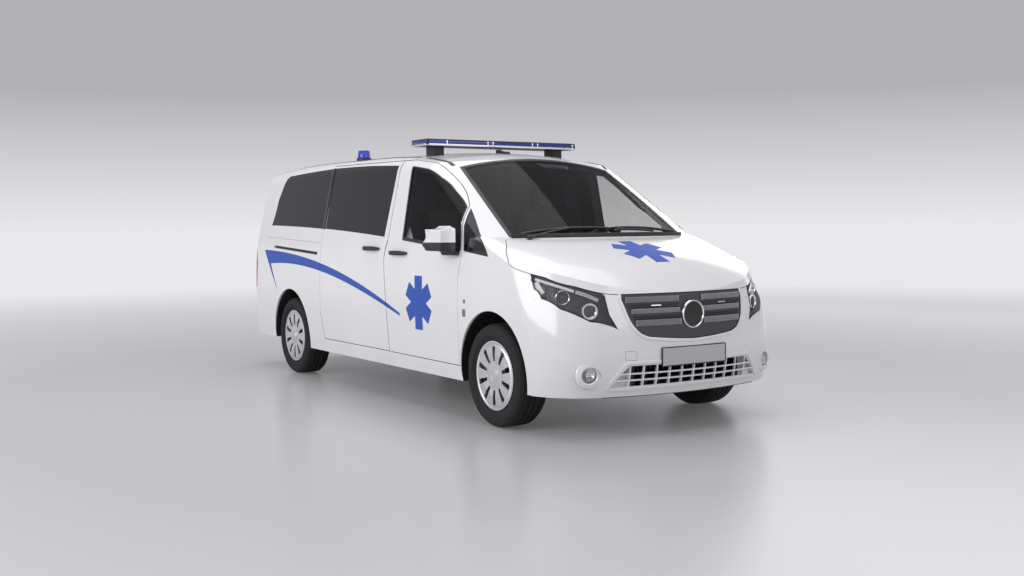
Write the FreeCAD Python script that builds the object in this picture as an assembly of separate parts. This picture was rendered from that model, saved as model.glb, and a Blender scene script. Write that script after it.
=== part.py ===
# Ambulance on a long panel-van body with side windows.
# Lengths are in millimetres.  +X is forward, +Y is the vehicle's left, +Z is up.
# The origin is on the ground, under the middle of the body.
# Stations s are measured backwards from the foremost point of the front bumper.
import FreeCAD
import Part
import math
import os
from FreeCAD import Vector, Rotation, Placement

doc = FreeCAD.newDocument("ambulance")

# ---------------------------------------------------------------- driving sizes
sheet = doc.addObject("Spreadsheet::Sheet", "Sizes")
SIZES = [
    # cell, alias, value
    ("A1", "front_overhang", 895.0),
    ("A2", "wheelbase", 3430.0),
    ("A3", "rear_overhang", 1045.0),
    ("A4", "body_width", 1928.0),
    ("A5", "roof_height", 1910.0),
    ("A6", "tyre_diameter", 679.0),
    ("A7", "tyre_width", 225.0),
    ("A8", "rim_diameter", 444.0),
    ("A9", "track_front", 1666.0),
    ("A10", "track_rear", 1646.0),
    ("A11", "arch_gap", 65.5),
    ("A12", "kingpin_inset", 25.0),
    ("A14", "wall_depth", 60.0),
    ("A15", "door_gap", 5.0),
    ("A16", "panel_gap", 0.6),
    ("A17", "flange", 22.0),
    ("A19", "glass_thickness", 5.0),
    ("A20", "lightbar_length", 1380.0),
    ("A21", "lightbar_depth", 250.0),
    ("A22", "beacon_diameter", 110.0),
    ("A23", "hub_bore", 70.0),
    ("A24", "plate_width", 520.0),
    ("A25", "plate_height", 112.0),
    ("A26", "seat_width", 520.0),
    ("A27", "steering_wheel_diameter", 390.0),
]
for cell, alias, value in SIZES:
    sheet.set(cell, str(value))
    sheet.setAlias(cell, alias)
doc.recompute()


def size(alias):
    """Value of one driving size."""
    return float(sheet.get(alias))


front_overhang = size("front_overhang")
wheelbase = size("wheelbase")
rear_overhang = size("rear_overhang")
length = front_overhang + wheelbase + rear_overhang
width_ratio = size("body_width") / 1928.0
height_ratio = size("roof_height") / 1910.0
tyre_radius = size("tyre_diameter") / 2.0
tyre_width = size("tyre_width")
rim_radius = size("rim_diameter") / 2.0
hub_z = tyre_radius
arch_radius = tyre_radius + size("arch_gap")
arch_z = tyre_radius + 18.5
half_track_front = size("track_front") / 2.0
half_track_rear = size("track_rear") / 2.0
kingpin_y = half_track_front - size("kingpin_inset")
wall_depth = size("wall_depth")
door_gap = size("door_gap")
panel_gap = size("panel_gap")
flange = size("flange")
glass_thickness = size("glass_thickness")
SEAT_GAP = 0.3          # rest clearance between touching pieces
LEFT, RIGHT = 1, -1


def sx(s):
    """Station s of the tabled body moved to the x of this body."""
    nose, span, tail = 895.0, 3430.0, 1045.0
    if s <= nose:
        back = s * front_overhang / nose
    elif s <= nose + span:
        back = front_overhang + (s - nose) * wheelbase / span
    else:
        back = front_overhang + wheelbase + (s - nose - span) * rear_overhang / tail
    return length / 2.0 - back


def sy(y):
    """Tabled half width in this body."""
    return y * width_ratio


def sz(z):
    """Tabled height in this body."""
    return z * height_ratio


front_axle_x = sx(895.0)
rear_axle_x = sx(4325.0)

# ---------------------------------------------------------------- curve helpers


def seg(a, b):
    return Part.LineSegment(a, b).toShape()


def arc(a, b, c):
    return Part.Arc(a, b, c).toShape()


def box(s0, s1, y0, y1, z0, z1):
    """Box between stations s0 and s1, widths y0 and y1, heights z0 and z1."""
    xa, xb = sx(s1), sx(s0)
    return Part.makeBox(xb - xa, y1 - y0, z1 - z0, Vector(xa, y0, z0))


def circle_through(p, q, r):
    """Centre and radius of the circle through three flat points."""
    (ax, ay), (bx, by), (cx, cy) = p, q, r
    d = 2 * (ax * (by - cy) + bx * (cy - ay) + cx * (ay - by))
    ux = (ax * ax + ay * ay) * (by - cy) + (bx * bx + by * by) * (cy - ay)
    ux = (ux + (cx * cx + cy * cy) * (ay - by)) / d
    uy = (ax * ax + ay * ay) * (cx - bx) + (bx * bx + by * by) * (ax - cx)
    uy = (uy + (cx * cx + cy * cy) * (bx - ax)) / d
    return ux, uy, math.hypot(ax - ux, ay - uy)


def grown(rows, amount):
    """Rows (a, b, bulge) with every edge moved outwards by amount."""
    if abs(amount) < 1e-9:
        return rows
    count = len(rows)
    area = sum(rows[i][0] * rows[(i + 1) % count][1] - rows[(i + 1) % count][0] * rows[i][1]
               for i in range(count))
    turn = 1.0 if area > 0 else -1.0
    lines = []
    for i in range(count):
        (a, b), (c, d) = rows[i][:2], rows[(i + 1) % count][:2]
        run = math.hypot(c - a, d - b)
        nx, ny = turn * (d - b) / run, -turn * (c - a) / run
        lines.append((nx, ny, nx * a + ny * b + amount))
    moved = []
    for i in range(count):
        (n1, m1, k1), (n2, m2, k2) = lines[i - 1], lines[i]
        det = n1 * m2 - n2 * m1
        if abs(det) < 0.02:
            moved.append((rows[i][0] + n1 * amount, rows[i][1] + m1 * amount, rows[i][2]))
        else:
            moved.append(((k1 * m2 - k2 * m1) / det, (n1 * k2 - n2 * k1) / det, rows[i][2]))
    return moved


def flat_outline(rows, place, amount=0.0):
    """Closed face from rows (a, b, bulge of the edge to the next point)."""
    rows = grown(rows, amount)
    edges = []
    for i, (a, b, bulge) in enumerate(rows):
        c, d = rows[(i + 1) % len(rows)][:2]
        if bulge == 0.0:
            edges.append(seg(place(a, b), place(c, d)))
        else:
            run = math.hypot(c - a, d - b)
            ma = (a + c) / 2.0 + bulge * (d - b) / run
            mb = (b + d) / 2.0 - bulge * (c - a) / run
            edges.append(arc(place(a, b), place(ma, mb), place(c, d)))
    return Part.Face(Part.Wire(edges))


def side_prism(rows, side, amount=0.0, reach=560.0):
    """Outline rows (s, z, bulge) on one flank pushed in from outside to y = reach."""
    rows = [(sx(s), sz(z), -b) for s, z, b in rows]
    face = flat_outline(rows, lambda a, b: Vector(a, side * 1400.0, b), amount)
    return face.extrude(Vector(0, -side * (1400.0 - sy(reach)), 0))


def through_prism(rows, amount=0.0):
    """Outline rows (s, z, bulge) pushed across the whole width."""
    rows = [(sx(s), sz(z), -b) for s, z, b in rows]
    face = flat_outline(rows, lambda a, b: Vector(a, -1400.0, b), amount)
    return face.extrude(Vector(0, 2800.0, 0))


def end_prism(rows, s0, s1, amount=0.0):
    """Outline rows (y, z, bulge) pushed along the body between two stations."""
    rows = [(sy(y), sz(z), b) for y, z, b in rows]
    face = flat_outline(rows, lambda a, b: Vector(sx(s1), a, b), amount)
    return face.extrude(Vector(sx(s0) - sx(s1), 0, 0))


def plan_prism(rows, z0, z1, amount=0.0):
    """Outline rows (s, y, bulge) pushed upwards between two heights."""
    rows = [(sx(s), sy(y), b) for s, y, b in rows]
    face = flat_outline(rows, lambda a, b: Vector(a, b, z0), amount)
    return face.extrude(Vector(0, 0, z1 - z0))


def slant_prism(rows, normal, out, deep, amount=0.0):
    """Outline rows (s, y, z, bulge) seen along normal, from out down to deep."""
    n = Vector(*normal)
    n.normalize()
    across = Vector(0, 0, 1).cross(n)
    across.normalize()
    up = n.cross(across)
    points = [Vector(sx(s), sy(y), sz(z)) for s, y, z, b in rows]
    base = max(p.dot(n) for p in points) + out
    flat = [(p.dot(across), p.dot(up), r[3]) for p, r in zip(points, rows)]
    face = flat_outline(flat, lambda a, b: across * a + up * b + n * base, amount)
    return face.extrude(n * -(out + deep))


def mirrored(shape):
    """The same shape on the other flank."""
    return shape.mirror(Vector(0, 0, 0), Vector(0, 1, 0))


def cylinder_y(radius, x, z, y0, y1):
    return Part.makeCylinder(radius, y1 - y0, Vector(x, y0, z), Vector(0, 1, 0))


# ---------------------------------------------------------------- body form
BELT_Z = 1150.0
SILL_Z = 262.0
BELT_W = 952.0
TUMBLE = math.radians(10.2)
FLANK = circle_through((934.0, 240.0), (963.0, 700.0), (952.0, 1150.0))

ROOF_LINE = [
    # s, height of the crown
    (-300, 1500), (900, 1510), (1300, 1640), (1700, 1788), (2050, 1860),
    (2500, 1897), (3300, 1911), (4500, 1905), (5100, 1880), (5700, 1830),
]
NOSE_LEVELS = [
    # z, s of the foremost point, front radius, corner radius
    (100, 70, 2350, 400), (260, 40, 2350, 410), (450, 0, 2400, 430), (600, 3, 2300, 440),
    (760, 28, 2100, 500), (950, 80, 1800, 600), (1150, 170, 1700, 600), (1400, 290, 1700, 600),
]
CAB_LEVELS = [
    # z, s of the foremost point, front radius, corner radius
    (950, 392, 2000, 260), (1239, 848, 2000, 260), (1500, 1262, 1950, 260),
    (1757, 1690, 1850, 260), (2000, 2160, 1800, 260),
]
TAIL_LEVELS = [
    # z, s of the rearmost point
    (100, 5300), (450, 5370), (700, 5362), (1150, 5330), (1500, 5265), (1800, 5170), (2000, 5070),
]
BONNET_LINE = [
    # s, height on the centre line, crown radius
    (-100, 760, 4500), (100, 925, 4500), (300, 1063, 4300), (480, 1134, 4500),
    (660, 1186, 5200), (900, 1240, 9000), (1200, 1300, 12000),
]


def half_width(z):
    """Half width of the flank at tabled height z."""
    if z <= BELT_Z:
        return FLANK[0] + math.sqrt(FLANK[2] ** 2 - (z - FLANK[1]) ** 2)
    return BELT_W - (z - BELT_Z) * math.tan(TUMBLE)


def plan_wire(z, w, nose, front_r, corner_r, back, sign=1):
    """Level outline: bowed end at nose, round corners, straight flanks to back."""
    w, z = sy(w), sz(z)
    centre = nose - sign * front_r
    dx = math.sqrt((front_r - corner_r) ** 2 - (w - corner_r) ** 2)
    cx, cy = centre + sign * dx, w - corner_r
    k = front_r / (front_r - corner_r)
    tx, ty = centre + (cx - centre) * k, cy * k
    a = (math.atan2(cy, dx) + math.pi / 2) / 2
    mx, my = cx + sign * corner_r * math.cos(a), cy + corner_r * math.sin(a)
    return Part.Wire([
        arc(Vector(tx, -ty, z), Vector(nose, 0, z), Vector(tx, ty, z)),
        arc(Vector(tx, ty, z), Vector(mx, my, z), Vector(cx, w, z)),
        seg(Vector(cx, w, z), Vector(back, w, z)),
        seg(Vector(back, w, z), Vector(back, -w, z)),
        seg(Vector(back, -w, z), Vector(cx, -w, z)),
        arc(Vector(cx, -w, z), Vector(mx, -my, z), Vector(tx, -ty, z)),
    ])


def tunnel_wire(s, crown, d):
    """Cross section at station s: flanks, tumblehome, shoulders and crowned roof."""
    x = sx(s)
    rk, r = 5200.0 - d, 130.0 - d
    kz = crown - 5200.0
    n = (-math.cos(TUMBLE), -math.sin(TUMBLE))
    up = (-math.sin(TUMBLE), math.cos(TUMBLE))
    p = (BELT_W + d * n[0], BELT_Z + d * n[1])
    ay, az = p[0] + r * n[0], p[1] + r * n[1] - kz
    b = ay * up[0] + az * up[1]
    t = -b + math.sqrt(b * b - (ay * ay + az * az - (rk - r) ** 2))
    q = (p[0] + t * up[0], p[1] + t * up[1])
    c = (q[0] + r * n[0], q[1] + r * n[1])
    u = math.hypot(c[0], c[1] - kz)
    top = (c[0] * rk / u, kz + (c[1] - kz) * rk / u)
    a = (math.atan2(q[1] - c[1], q[0] - c[0]) + math.atan2(top[1] - c[1], top[0] - c[0])) / 2
    m = (c[0] + r * math.cos(a), c[1] + r * math.sin(a))

    def flank(z):
        return (FLANK[0] + math.sqrt((FLANK[2] - d) ** 2 - (z - FLANK[1]) ** 2), z)

    low, mid, belt = flank(SILL_Z), flank((SILL_Z + BELT_Z) / 2), flank(BELT_Z)

    def at(point, k=1):
        return Vector(x, k * sy(point[0]), sz(point[1]))

    return Part.Wire([
        seg(at(low, -1), at(low)), arc(at(low), at(mid), at(belt)), seg(at(belt), at(q)),
        arc(at(q), at(m), at(top)), arc(at(top), at((0, kz + rk)), at(top, -1)),
        arc(at(top, -1), at(m, -1), at(q, -1)), seg(at(q, -1), at(belt, -1)),
        arc(at(belt, -1), at(mid, -1), at(low, -1)),
    ])


def bonnet_wire(s, zc, rk, d):
    """Section of the space above the bonnet at station s."""
    x = sx(s)
    zc, rk = zc - 1.08 * d, rk - d
    r, yw = 170.0 - d, 1012.0 - d
    kz = zc - rk
    cy = yw - r
    cz = kz + math.sqrt((rk - r) ** 2 - cy ** 2)
    k = rk / (rk - r)
    top, q = (cy * k, kz + (cz - kz) * k), (yw, cz)
    a = math.atan2(cz - kz, cy) / 2.0
    m = (cy + r * math.cos(a), cz + r * math.sin(a))
    out, high = (1100.0, cz), (1100.0, 2300.0)

    def at(point, k=1):
        return Vector(x, k * sy(point[0]), sz(point[1]))

    return Part.Wire([
        arc(at(q), at(m), at(top)), arc(at(top), at((0, zc)), at(top, -1)),
        arc(at(top, -1), at(m, -1), at(q, -1)), seg(at(q, -1), at(out, -1)),
        seg(at(out, -1), at(high, -1)), seg(at(high, -1), at(high)),
        seg(at(high), at(out)), seg(at(out), at(q)),
    ])


def envelope(d):
    """Solid inside the outer skin moved in by d, nudged when a boolean comes out empty."""
    for nudge in (0.0, 0.04, -0.04, 0.08, -0.08, 0.13):
        shape = raw_envelope(d + nudge)
        if shape.isValid() and shape.Volume > 1e9:
            return shape
    raise RuntimeError("no envelope at depth " + str(d))


def raw_envelope(d):
    """Nose, bonnet, cabin, roof and tail surfaces joined to one solid."""
    rear_end, front_end = sx(5370.0) - 330.0, sx(0.0) - 3085.0
    tunnel = Part.makeLoft([tunnel_wire(s, z, d) for s, z in ROOF_LINE], True, False, False, 5)
    nose = Part.makeLoft(
        [plan_wire(z, half_width(z) + 10 - d, sx(s) - d, fr - d, cr - d, rear_end)
         for z, s, fr, cr in NOSE_LEVELS], True, False, False, 5)
    cab = Part.makeLoft(
        [plan_wire(z, half_width(z) + 12 - d, sx(s) - 1.86 * d, fr - d, cr - d, rear_end)
         for z, s, fr, cr in CAB_LEVELS], True, False, False, 5)
    tail = Part.makeLoft(
        [plan_wire(z, half_width(z) + 10 - d, sx(s) + d, 3500 - d, 140 - d, front_end + 6170.0, -1)
         for z, s in TAIL_LEVELS], True, False, False, 5)
    above = Part.makeLoft([bonnet_wire(s, z, rk, d) for s, z, rk in BONNET_LINE],
                          True, False, False, 5)
    nose = nose.cut(above)
    low_box = Part.makeBox(length + 700.0, 3000, sz(1250.0) + 100.0,
                           Vector(-length / 2 - 430.0, -1500, -100))
    nose = nose.common(low_box)
    return nose.fuse(cab).common(tail).common(tunnel)


# ---------------------------------------------------------------- panel outlines
DOOR = [
    # s, z, bulge of the edge to the next point
    (1310, 365, 0), (1309, 952, 6), (1262, 1133, 0), (1250, 1830, 0), (2010, 1830, 0),
    (2100, 1811, 0), (2348, 1811, 0), (2391, 1212, 0), (2437, 1055, 12), (2376, 370, 0),
]
DOOR_PILLAR = [
    # s, y, z, bulge: edge along the windscreen pillar, then far round the door
    (1180, -958, 900, 0), (1262, -953, 1133, 0), (1372, -829, 1453, 6), (1526, -765, 1567, 8),
    (1777, -759, 1714, 16), (2010, -786, 1786, 0), (2247, -788, 1822, 0), (2900, -800, 1900, 0),
    (2900, -960, 100, 0), (1180, -960, 100, 0),
]
DOOR_WINDOW = [
    # s, y, z, bulge
    (1286, -950, 1156, 0), (1388, -829, 1440, 6), (1560, -828, 1562, 9), (1757, -837, 1668, 9),
    (1981, -836, 1732, 0), (2165, -832, 1755, 0), (2150, -938, 1226, 0),
]
SLIDING_DOOR = [
    # s, z, bulge
    (2382, 372, -12), (2443, 1055, 0), (2397, 1212, 0), (2357, 1812, 0), (3610, 1828, 0),
    (3634, 1297, 0), (3652, 600, 0), (3596, 372, 0),
]
SLIDING_WINDOW = [
    # s, z, bulge
    (2460, 1237, 0), (2395, 1776, -8), (3576, 1806, 0), (3594, 1299, 4),
]
QUARTER_WINDOW = [
    # s, z, bulge
    (3650, 1299, 0), (3630, 1806, -3), (4560, 1779, -14), (4680, 1700, 0), (4763, 1568, 10),
    (4844, 1332, 4),
]
MIDDLE_WINDOW = [
    # s, z, bulge
    (2470, 1237, 0), (2405, 1776, -8), (3594, 1806, 0), (3610, 1299, 4),
]
TRIANGLE_WINDOW = [
    # s, y, z, bulge
    (918, -954, 1114, 10), (1078, -912, 1232, 4), (1352, -829, 1444, 0), (1244, -952, 1156, 0),
    (1232, -952, 1146, 0),
]
RAIL_SLOT = [
    # s, z, bulge
    (3707, 1078, 0), (3707, 1103, 0), (4715, 1150, 0), (4715, 1125, 0),
]
BONNET_SIDE = [
    # s, z, bulge
    (-80, 888, 0), (127, 888, 0), (154, 893, 0), (261, 940, 4), (415, 995, 0), (522, 1020, 0),
    (625, 1048, 0), (680, 1076, 0), (760, 1105, 0), (1040, 1105, 0),
    (1040, 1500, 0), (-80, 1500, 0),
]
BONNET_PLAN = [
    # s, y, bulge
    (-80, -1100, 0), (680, -1100, 0), (680, -950, 0), (784, -903, 6), (952, -800, 0),
    (984, -745, 141), (984, 745, 0), (952, 800, 6), (784, 903, 0), (680, 950, 0),
    (680, 1100, 0), (-80, 1100, 0),
]
FENDER = [
    # s, z, bulge
    (420, 868, 0), (537, 791, 0), (640, 728, 0), (640, 200, 0), (1310, 200, 0),
    (1310, 365, 0), (1309, 952, -6), (1262, 1133, 0), (1085, 1140, 0), (1085, 1236, 0),
    (700, 1236, 0), (380, 1236, 0),
]
BUMPER = [
    # s, z, bulge
    (-80, 100, 0), (-80, 1236, 0), (380, 1236, 0), (420, 868, 0), (537, 791, 0), (640, 728, 0),
    (640, 100, 0),
]
HEADLAMP = [
    # s, y, z, bulge (seen from the front corner)
    (154, -593, 884, 0), (115, -585, 767, 0), (82, -544, 679, 10), (149, -707, 729, 6),
    (283, -834, 806, 8), (399, -893, 865, 10), (460, -905, 923, 0), (522, -906, 1060, 0),
    (300, -760, 1060, 0),
]
GRILLE = [
    # y, z, bulge
    (-498, 885, 0), (-467, 765, 12), (-392, 650, 10), (-345, 630, 4), (0, 604, 4),
    (345, 630, 10), (392, 650, 12), (467, 765, 0), (498, 885, 0),
]
LOWER_GRILLE = [
    # y, z, bulge
    (-595, 322, -8), (-480, 452, 0), (480, 452, -8), (595, 322, 6),
]
FOG_LAMP = [
    # y, z, bulge
    (-800, 404, 14), (-730, 352, 14), (-662, 404, 14), (-730, 458, 14),
]
WINDSCREEN = [
    # s, y, z, bulge
    (992, -745, 1240, 112), (992, 745, 1240, 6), (1780, 660, 1752, 42), (1780, -660, 1752, 6),
]
TAILGATE = [
    # y, z, bulge
    (-790, 600, 0), (790, 600, 0), (815, 900, 0), (818, 1160, 0), (768, 1560, 10),
    (700, 1790, 0), (660, 1812, 6), (-660, 1812, 0), (-700, 1790, 10), (-768, 1560, 0),
    (-818, 1160, 0), (-815, 900, 0),
]
TAILGATE_WINDOW = [
    # y, z, bulge
    (-715, 1240, -20), (715, 1240, 0), (690, 1480, 8), (640, 1740, 10), (-640, 1740, 8),
    (-690, 1480, 0),
]
TAIL_LAMP = [
    # s, z, bulge
    (5150, 745, 0), (5120, 960, 0), (5150, 1150, 0), (5220, 1178, 0), (5460, 1178, 0), (5460, 745, 0),
]
REAR_BUMPER = [
    # s, z, bulge
    (4325, 100, 0), (4325, 480, 0), (4700, 590, 0), (5500, 590, 0), (5500, 100, 0),
]
REAR_PLATE_WELL = [
    # y, z, bulge
    (-280, 820, 0), (280, 820, 0), (280, 960, 0), (-280, 960, 0),
]

bodies = []


def keep(name, shape):
    """Feature holding one finished shell shape."""
    feature = doc.addObject("Part::Feature", name)
    feature.Shape = shape
    feature.Label = name
    feature.Placement = Placement(Vector(0, 0, 0), Rotation())
    bodies.append(feature)
    return feature


def biggest(shape, count=1):
    """The largest solids of a shape, as one shape."""
    solids = sorted(shape.Solids, key=lambda s: -s.Volume)[:count]
    if len(solids) == 1:
        return solids[0]
    return Part.Compound(solids)


# surfaces at the depths that the walls use
outer = envelope(0.5)
inner = envelope(wall_depth)
cavity = envelope(wall_depth + SEAT_GAP)
frame_back = envelope(wall_depth + 12.0)
glass_out = envelope(3.0)
glass_in = envelope(3.0 + glass_thickness)
wall = outer.cut(inner)


def arches(radius, margin=0.0):
    """Four wheel-arch cylinders as one list."""
    cut = []
    for x in (front_axle_x, rear_axle_x):
        for side in (LEFT, RIGHT):
            y0, y1 = sorted((side * 640.0, side * 1300.0))
            cut.append(cylinder_y(radius, x, arch_z, y0, y1))
    return cut


def below(z, s0=-200.0, s1=5600.0):
    return box(s0, s1, -1500, 1500, -50, z)


ARCHES = arches(arch_radius)


def bonnet_region(amount):
    return through_prism(BONNET_SIDE, amount).common(plan_prism(BONNET_PLAN, 700, 1700, amount))


def headlamp_region(side, amount):
    angle = math.radians(46.0)
    prism = slant_prism(HEADLAMP, (math.cos(angle), -math.sin(angle), 0), 300, 420, amount)
    return prism if side == RIGHT else mirrored(prism)


def tailgate_region(amount):
    front = 5100.0 if amount > 0 else 5100.0 + SEAT_GAP
    return end_prism(TAILGATE, front, 5700, amount)


ROOF_EDGE = 713.0


def roof_region(amount):
    y = sy(ROOF_EDGE) + amount
    return box(1735, 5085, -y, y, sz(1770.0), 2300).common(
        plan_prism([(1700, -1000, -60), (1700, 1000, 0), (5085, 1000, 0), (5085, -1000, 0)],
                   1500, 2300, amount))


def windscreen_prism(amount):
    rake = math.radians(32.6)
    return slant_prism(WINDSCREEN, (math.sin(rake), 0, math.cos(rake)), 300, 420, amount)


PILLAR_NORMAL = (0.37, -0.79, 0.48)


def flank_slant(rows, side, amount):
    """Outline seen square to the windscreen pillar, on one flank."""
    prism = slant_prism(rows, PILLAR_NORMAL, 200, 330, amount)
    return prism if side == RIGHT else mirrored(prism)


def triangle_prism(side, amount):
    return flank_slant(TRIANGLE_WINDOW, side, amount)


def door_window_prism(side, amount):
    return flank_slant(DOOR_WINDOW, side, amount)


def door_region(amount, upper_amount=None):
    """Space of the right cab door; its edges along the pillar and roof can move by their own amount."""
    if upper_amount is None:
        upper_amount = amount
    prism = slant_prism(DOOR_PILLAR, PILLAR_NORMAL, 700, 1300, upper_amount)
    return side_prism(DOOR, RIGHT, amount, ROOF_EDGE + 14.0 - upper_amount).common(prism)


def sliding_region(amount):
    return side_prism(SLIDING_DOOR, RIGHT, amount, ROOF_EDGE + 14.0 - amount)


WINDOW_PRISMS = [
    windscreen_prism(0), triangle_prism(LEFT, 0), triangle_prism(RIGHT, 0),
    side_prism(QUARTER_WINDOW, LEFT, 0), side_prism(QUARTER_WINDOW, RIGHT, 0),
    side_prism(MIDDLE_WINDOW, LEFT, 0),
]


def closure(region, window=None):
    """Hinged or sliding panel with a gap all round."""
    cuts = [] if window is None else [window]
    shape = wall.common(region(-door_gap / 2))
    return biggest(shape.cut(cuts) if cuts else shape)


def fixed_panel(region, others):
    """Bolted panel of full wall depth."""
    return biggest(wall.common(region).cut(others))


# ---------------------------------------------------------------- panels
def swing_wedge():
    """Relief along the door's upper rear edge, so that its inner corner clears the pillar behind."""
    (s0, z0), (s1, z1) = DOOR[7][:2], DOOR[6][:2]
    x, y = sx(s0) + door_gap / 2, -half_width(z0) + 29.0
    rows = [(x, y), (x + 20, y + 93), (x + 20, y + 330), (x - 60, y + 330), (x - 60, y)]
    face = Part.Face(Part.makePolygon([Vector(a, b, sz(z0)) for a, b in rows + rows[:1]]))
    return face.extrude(Vector(sx(s1) - sx(s0), half_width(z0) - half_width(z1), sz(z1) - sz(z0)))


door_right = biggest(closure(door_region, door_window_prism(RIGHT, 0)).cut(swing_wedge()))
keep("door_right", door_right)
keep("door_left", mirrored(door_right))
keep("sliding_door", closure(sliding_region, side_prism(SLIDING_WINDOW, RIGHT, 0)))
keep("tailgate", biggest(closure(tailgate_region, end_prism(TAILGATE_WINDOW, 4900, 5700)).cut(
    end_prism(REAR_PLATE_WELL, 5328, 5700))))
keep("bonnet", closure(bonnet_region))

HALF = panel_gap / 2
BONNET_CUT = bonnet_region(door_gap / 2)
LAMP_CUTS = [headlamp_region(RIGHT, HALF), headlamp_region(LEFT, HALF)]
TAILGATE_CUT = tailgate_region(door_gap / 2)


def both(make):
    """The same panel on the right and on the left."""
    return Part.Compound([make(RIGHT), make(LEFT)])


def fog_prism(side, amount):
    prism = end_prism(FOG_LAMP, -200, 420, amount)
    return prism if side == RIGHT else mirrored(prism)


FOG_CUTS = [fog_prism(RIGHT, 0), fog_prism(LEFT, 0)]


def fender(side):
    cuts = [BONNET_CUT, triangle_prism(side, 0), windscreen_prism(0)]
    cuts = cuts + LAMP_CUTS + ARCHES
    return fixed_panel(side_prism(FENDER, side, -HALF, 560), cuts)


def front_bumper():
    region = through_prism(BUMPER, -HALF)
    above_grille = box(-200, 500, -493, 493, sz(870.0), 960)
    cuts = [BONNET_CUT, end_prism(GRILLE, -300, 500), above_grille] + LAMP_CUTS + ARCHES + FOG_CUTS
    cuts.append(box(-60, 9.8, -sy(262), sy(262), sz(438), sz(554)))
    shape = fixed_panel(region, cuts)
    grid = end_prism(LOWER_GRILLE, -300, 500)
    bars = [box(-200, 400, -700, 700, sz(z), sz(z) + 10) for z in (358, 398)]
    for i in range(-5, 6):
        bars.append(box(-200, 400, i * 95.0 - 4, i * 95.0 + 4, sz(300), sz(470)))
    return biggest(shape.cut(grid.cut(bars)))


def radiator_grille():
    shape = wall.common(end_prism(GRILLE, -300, 500, -SEAT_GAP))
    slots = []
    for z, high in ((842, 24), (776, 20), (706, 22)):
        slots.append(box(-200, 400, -440, -90, sz(z), sz(z) + high))
        slots.append(box(-200, 400, 90, 440, sz(z), sz(z) + high))
    inside = end_prism(GRILLE, -300, 500, -26)
    shape = shape.cut([slot.common(inside) for slot in slots])
    disc = Part.makeCylinder(84, 60, Vector(sx(76.0), 0, sz(752.0)), Vector(1, 0, 0))
    return Part.Compound([biggest(shape.cut(
        Part.makeCylinder(84 + SEAT_GAP, 300, Vector(sx(300.0), 0, sz(752.0)), Vector(1, 0, 0)))), disc])


def headlamp(side):
    return biggest(wall.common(headlamp_region(side, -HALF)).cut(BONNET_CUT))


def tail_lamp(side):
    return fixed_panel(side_prism(TAIL_LAMP, side, -HALF, 600), [TAILGATE_CUT])


keep("front_lamps", Part.Compound([headlamp(RIGHT), headlamp(LEFT)] + [
    biggest(wall.common(fog_prism(side, -SEAT_GAP))) for side in (RIGHT, LEFT)]))
keep("front_fenders", both(fender))
keep("front_bumper", front_bumper())
keep("radiator_grille", radiator_grille())
keep("tail_lamps", both(tail_lamp))
keep("rear_bumper", fixed_panel(through_prism(REAR_BUMPER, -HALF),
                                [TAILGATE_CUT, below(sz(300.0), 4400, 5600)] + ARCHES))
keep("roof_panel", fixed_panel(roof_region(-HALF), [windscreen_prism(0)]))


# ---------------------------------------------------------------- body sides
def body_side(side):
    """Wall of one flank with every panel and opening taken out."""
    y0, y1 = (-1400.0, 0.0) if side == RIGHT else (SEAT_GAP, 1400.0)
    shell = wall.common(Part.makeBox(length + 400, y1 - y0, 2300,
                                     Vector(-length / 2 - 200, y0, -50)))
    door = door_region(door_gap / 2)
    cuts = [door if side == RIGHT else mirrored(door), TAILGATE_CUT, BONNET_CUT, roof_region(HALF),
            side_prism(TAIL_LAMP, side, HALF, 600), through_prism(REAR_BUMPER, HALF),
            through_prism(BUMPER, HALF), side_prism(FENDER, side, HALF, 560),
            windscreen_prism(0), triangle_prism(side, 0), side_prism(QUARTER_WINDOW, side, 0)]
    cuts += [headlamp_region(side, HALF)]
    cuts += ARCHES
    if side == RIGHT:
        cuts += [sliding_region(door_gap / 2), side_prism(RAIL_SLOT, RIGHT, 0, 930)]
    else:
        cuts += [side_prism(MIDDLE_WINDOW, LEFT, 0)]
    return biggest(shell.cut(cuts))


keep("body_side_right", body_side(RIGHT))
keep("body_side_left", body_side(LEFT))


def frame_ring(outside, inside):
    """Sealing frame that laps the gap of a door from inside."""
    return biggest(frame_layer.common(outside).cut(inside))


frame_layer = cavity.cut(frame_back)
# along the pillar and the roof the frame stops at the gap, because the door swings across it
cab_ring = frame_ring(door_region(18.0), door_region(-flange, -door_gap / 2))
keep("door_frames", Part.Compound([cab_ring, mirrored(cab_ring),
                                   frame_ring(sliding_region(18.0), sliding_region(-flange))]))


# ---------------------------------------------------------------- glass
def pane(prism):
    return biggest(glass_out.common(prism).cut(glass_in))


keep("windscreen", pane(windscreen_prism(-SEAT_GAP)))
keep("side_windows", Part.Compound([
    pane(triangle_prism(LEFT, -SEAT_GAP)), pane(triangle_prism(RIGHT, -SEAT_GAP)),
    pane(side_prism(QUARTER_WINDOW, LEFT, -SEAT_GAP)),
    pane(side_prism(QUARTER_WINDOW, RIGHT, -SEAT_GAP)),
    pane(side_prism(MIDDLE_WINDOW, LEFT, -SEAT_GAP)),
    pane(side_prism(SLIDING_WINDOW, RIGHT, -SEAT_GAP)),
]))
keep("door_window_right", pane(door_window_prism(RIGHT, -SEAT_GAP)))
keep("door_window_left", pane(door_window_prism(LEFT, -SEAT_GAP)))
keep("tailgate_window", pane(end_prism(TAILGATE_WINDOW, 4900, 5700, -SEAT_GAP)))


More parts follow.
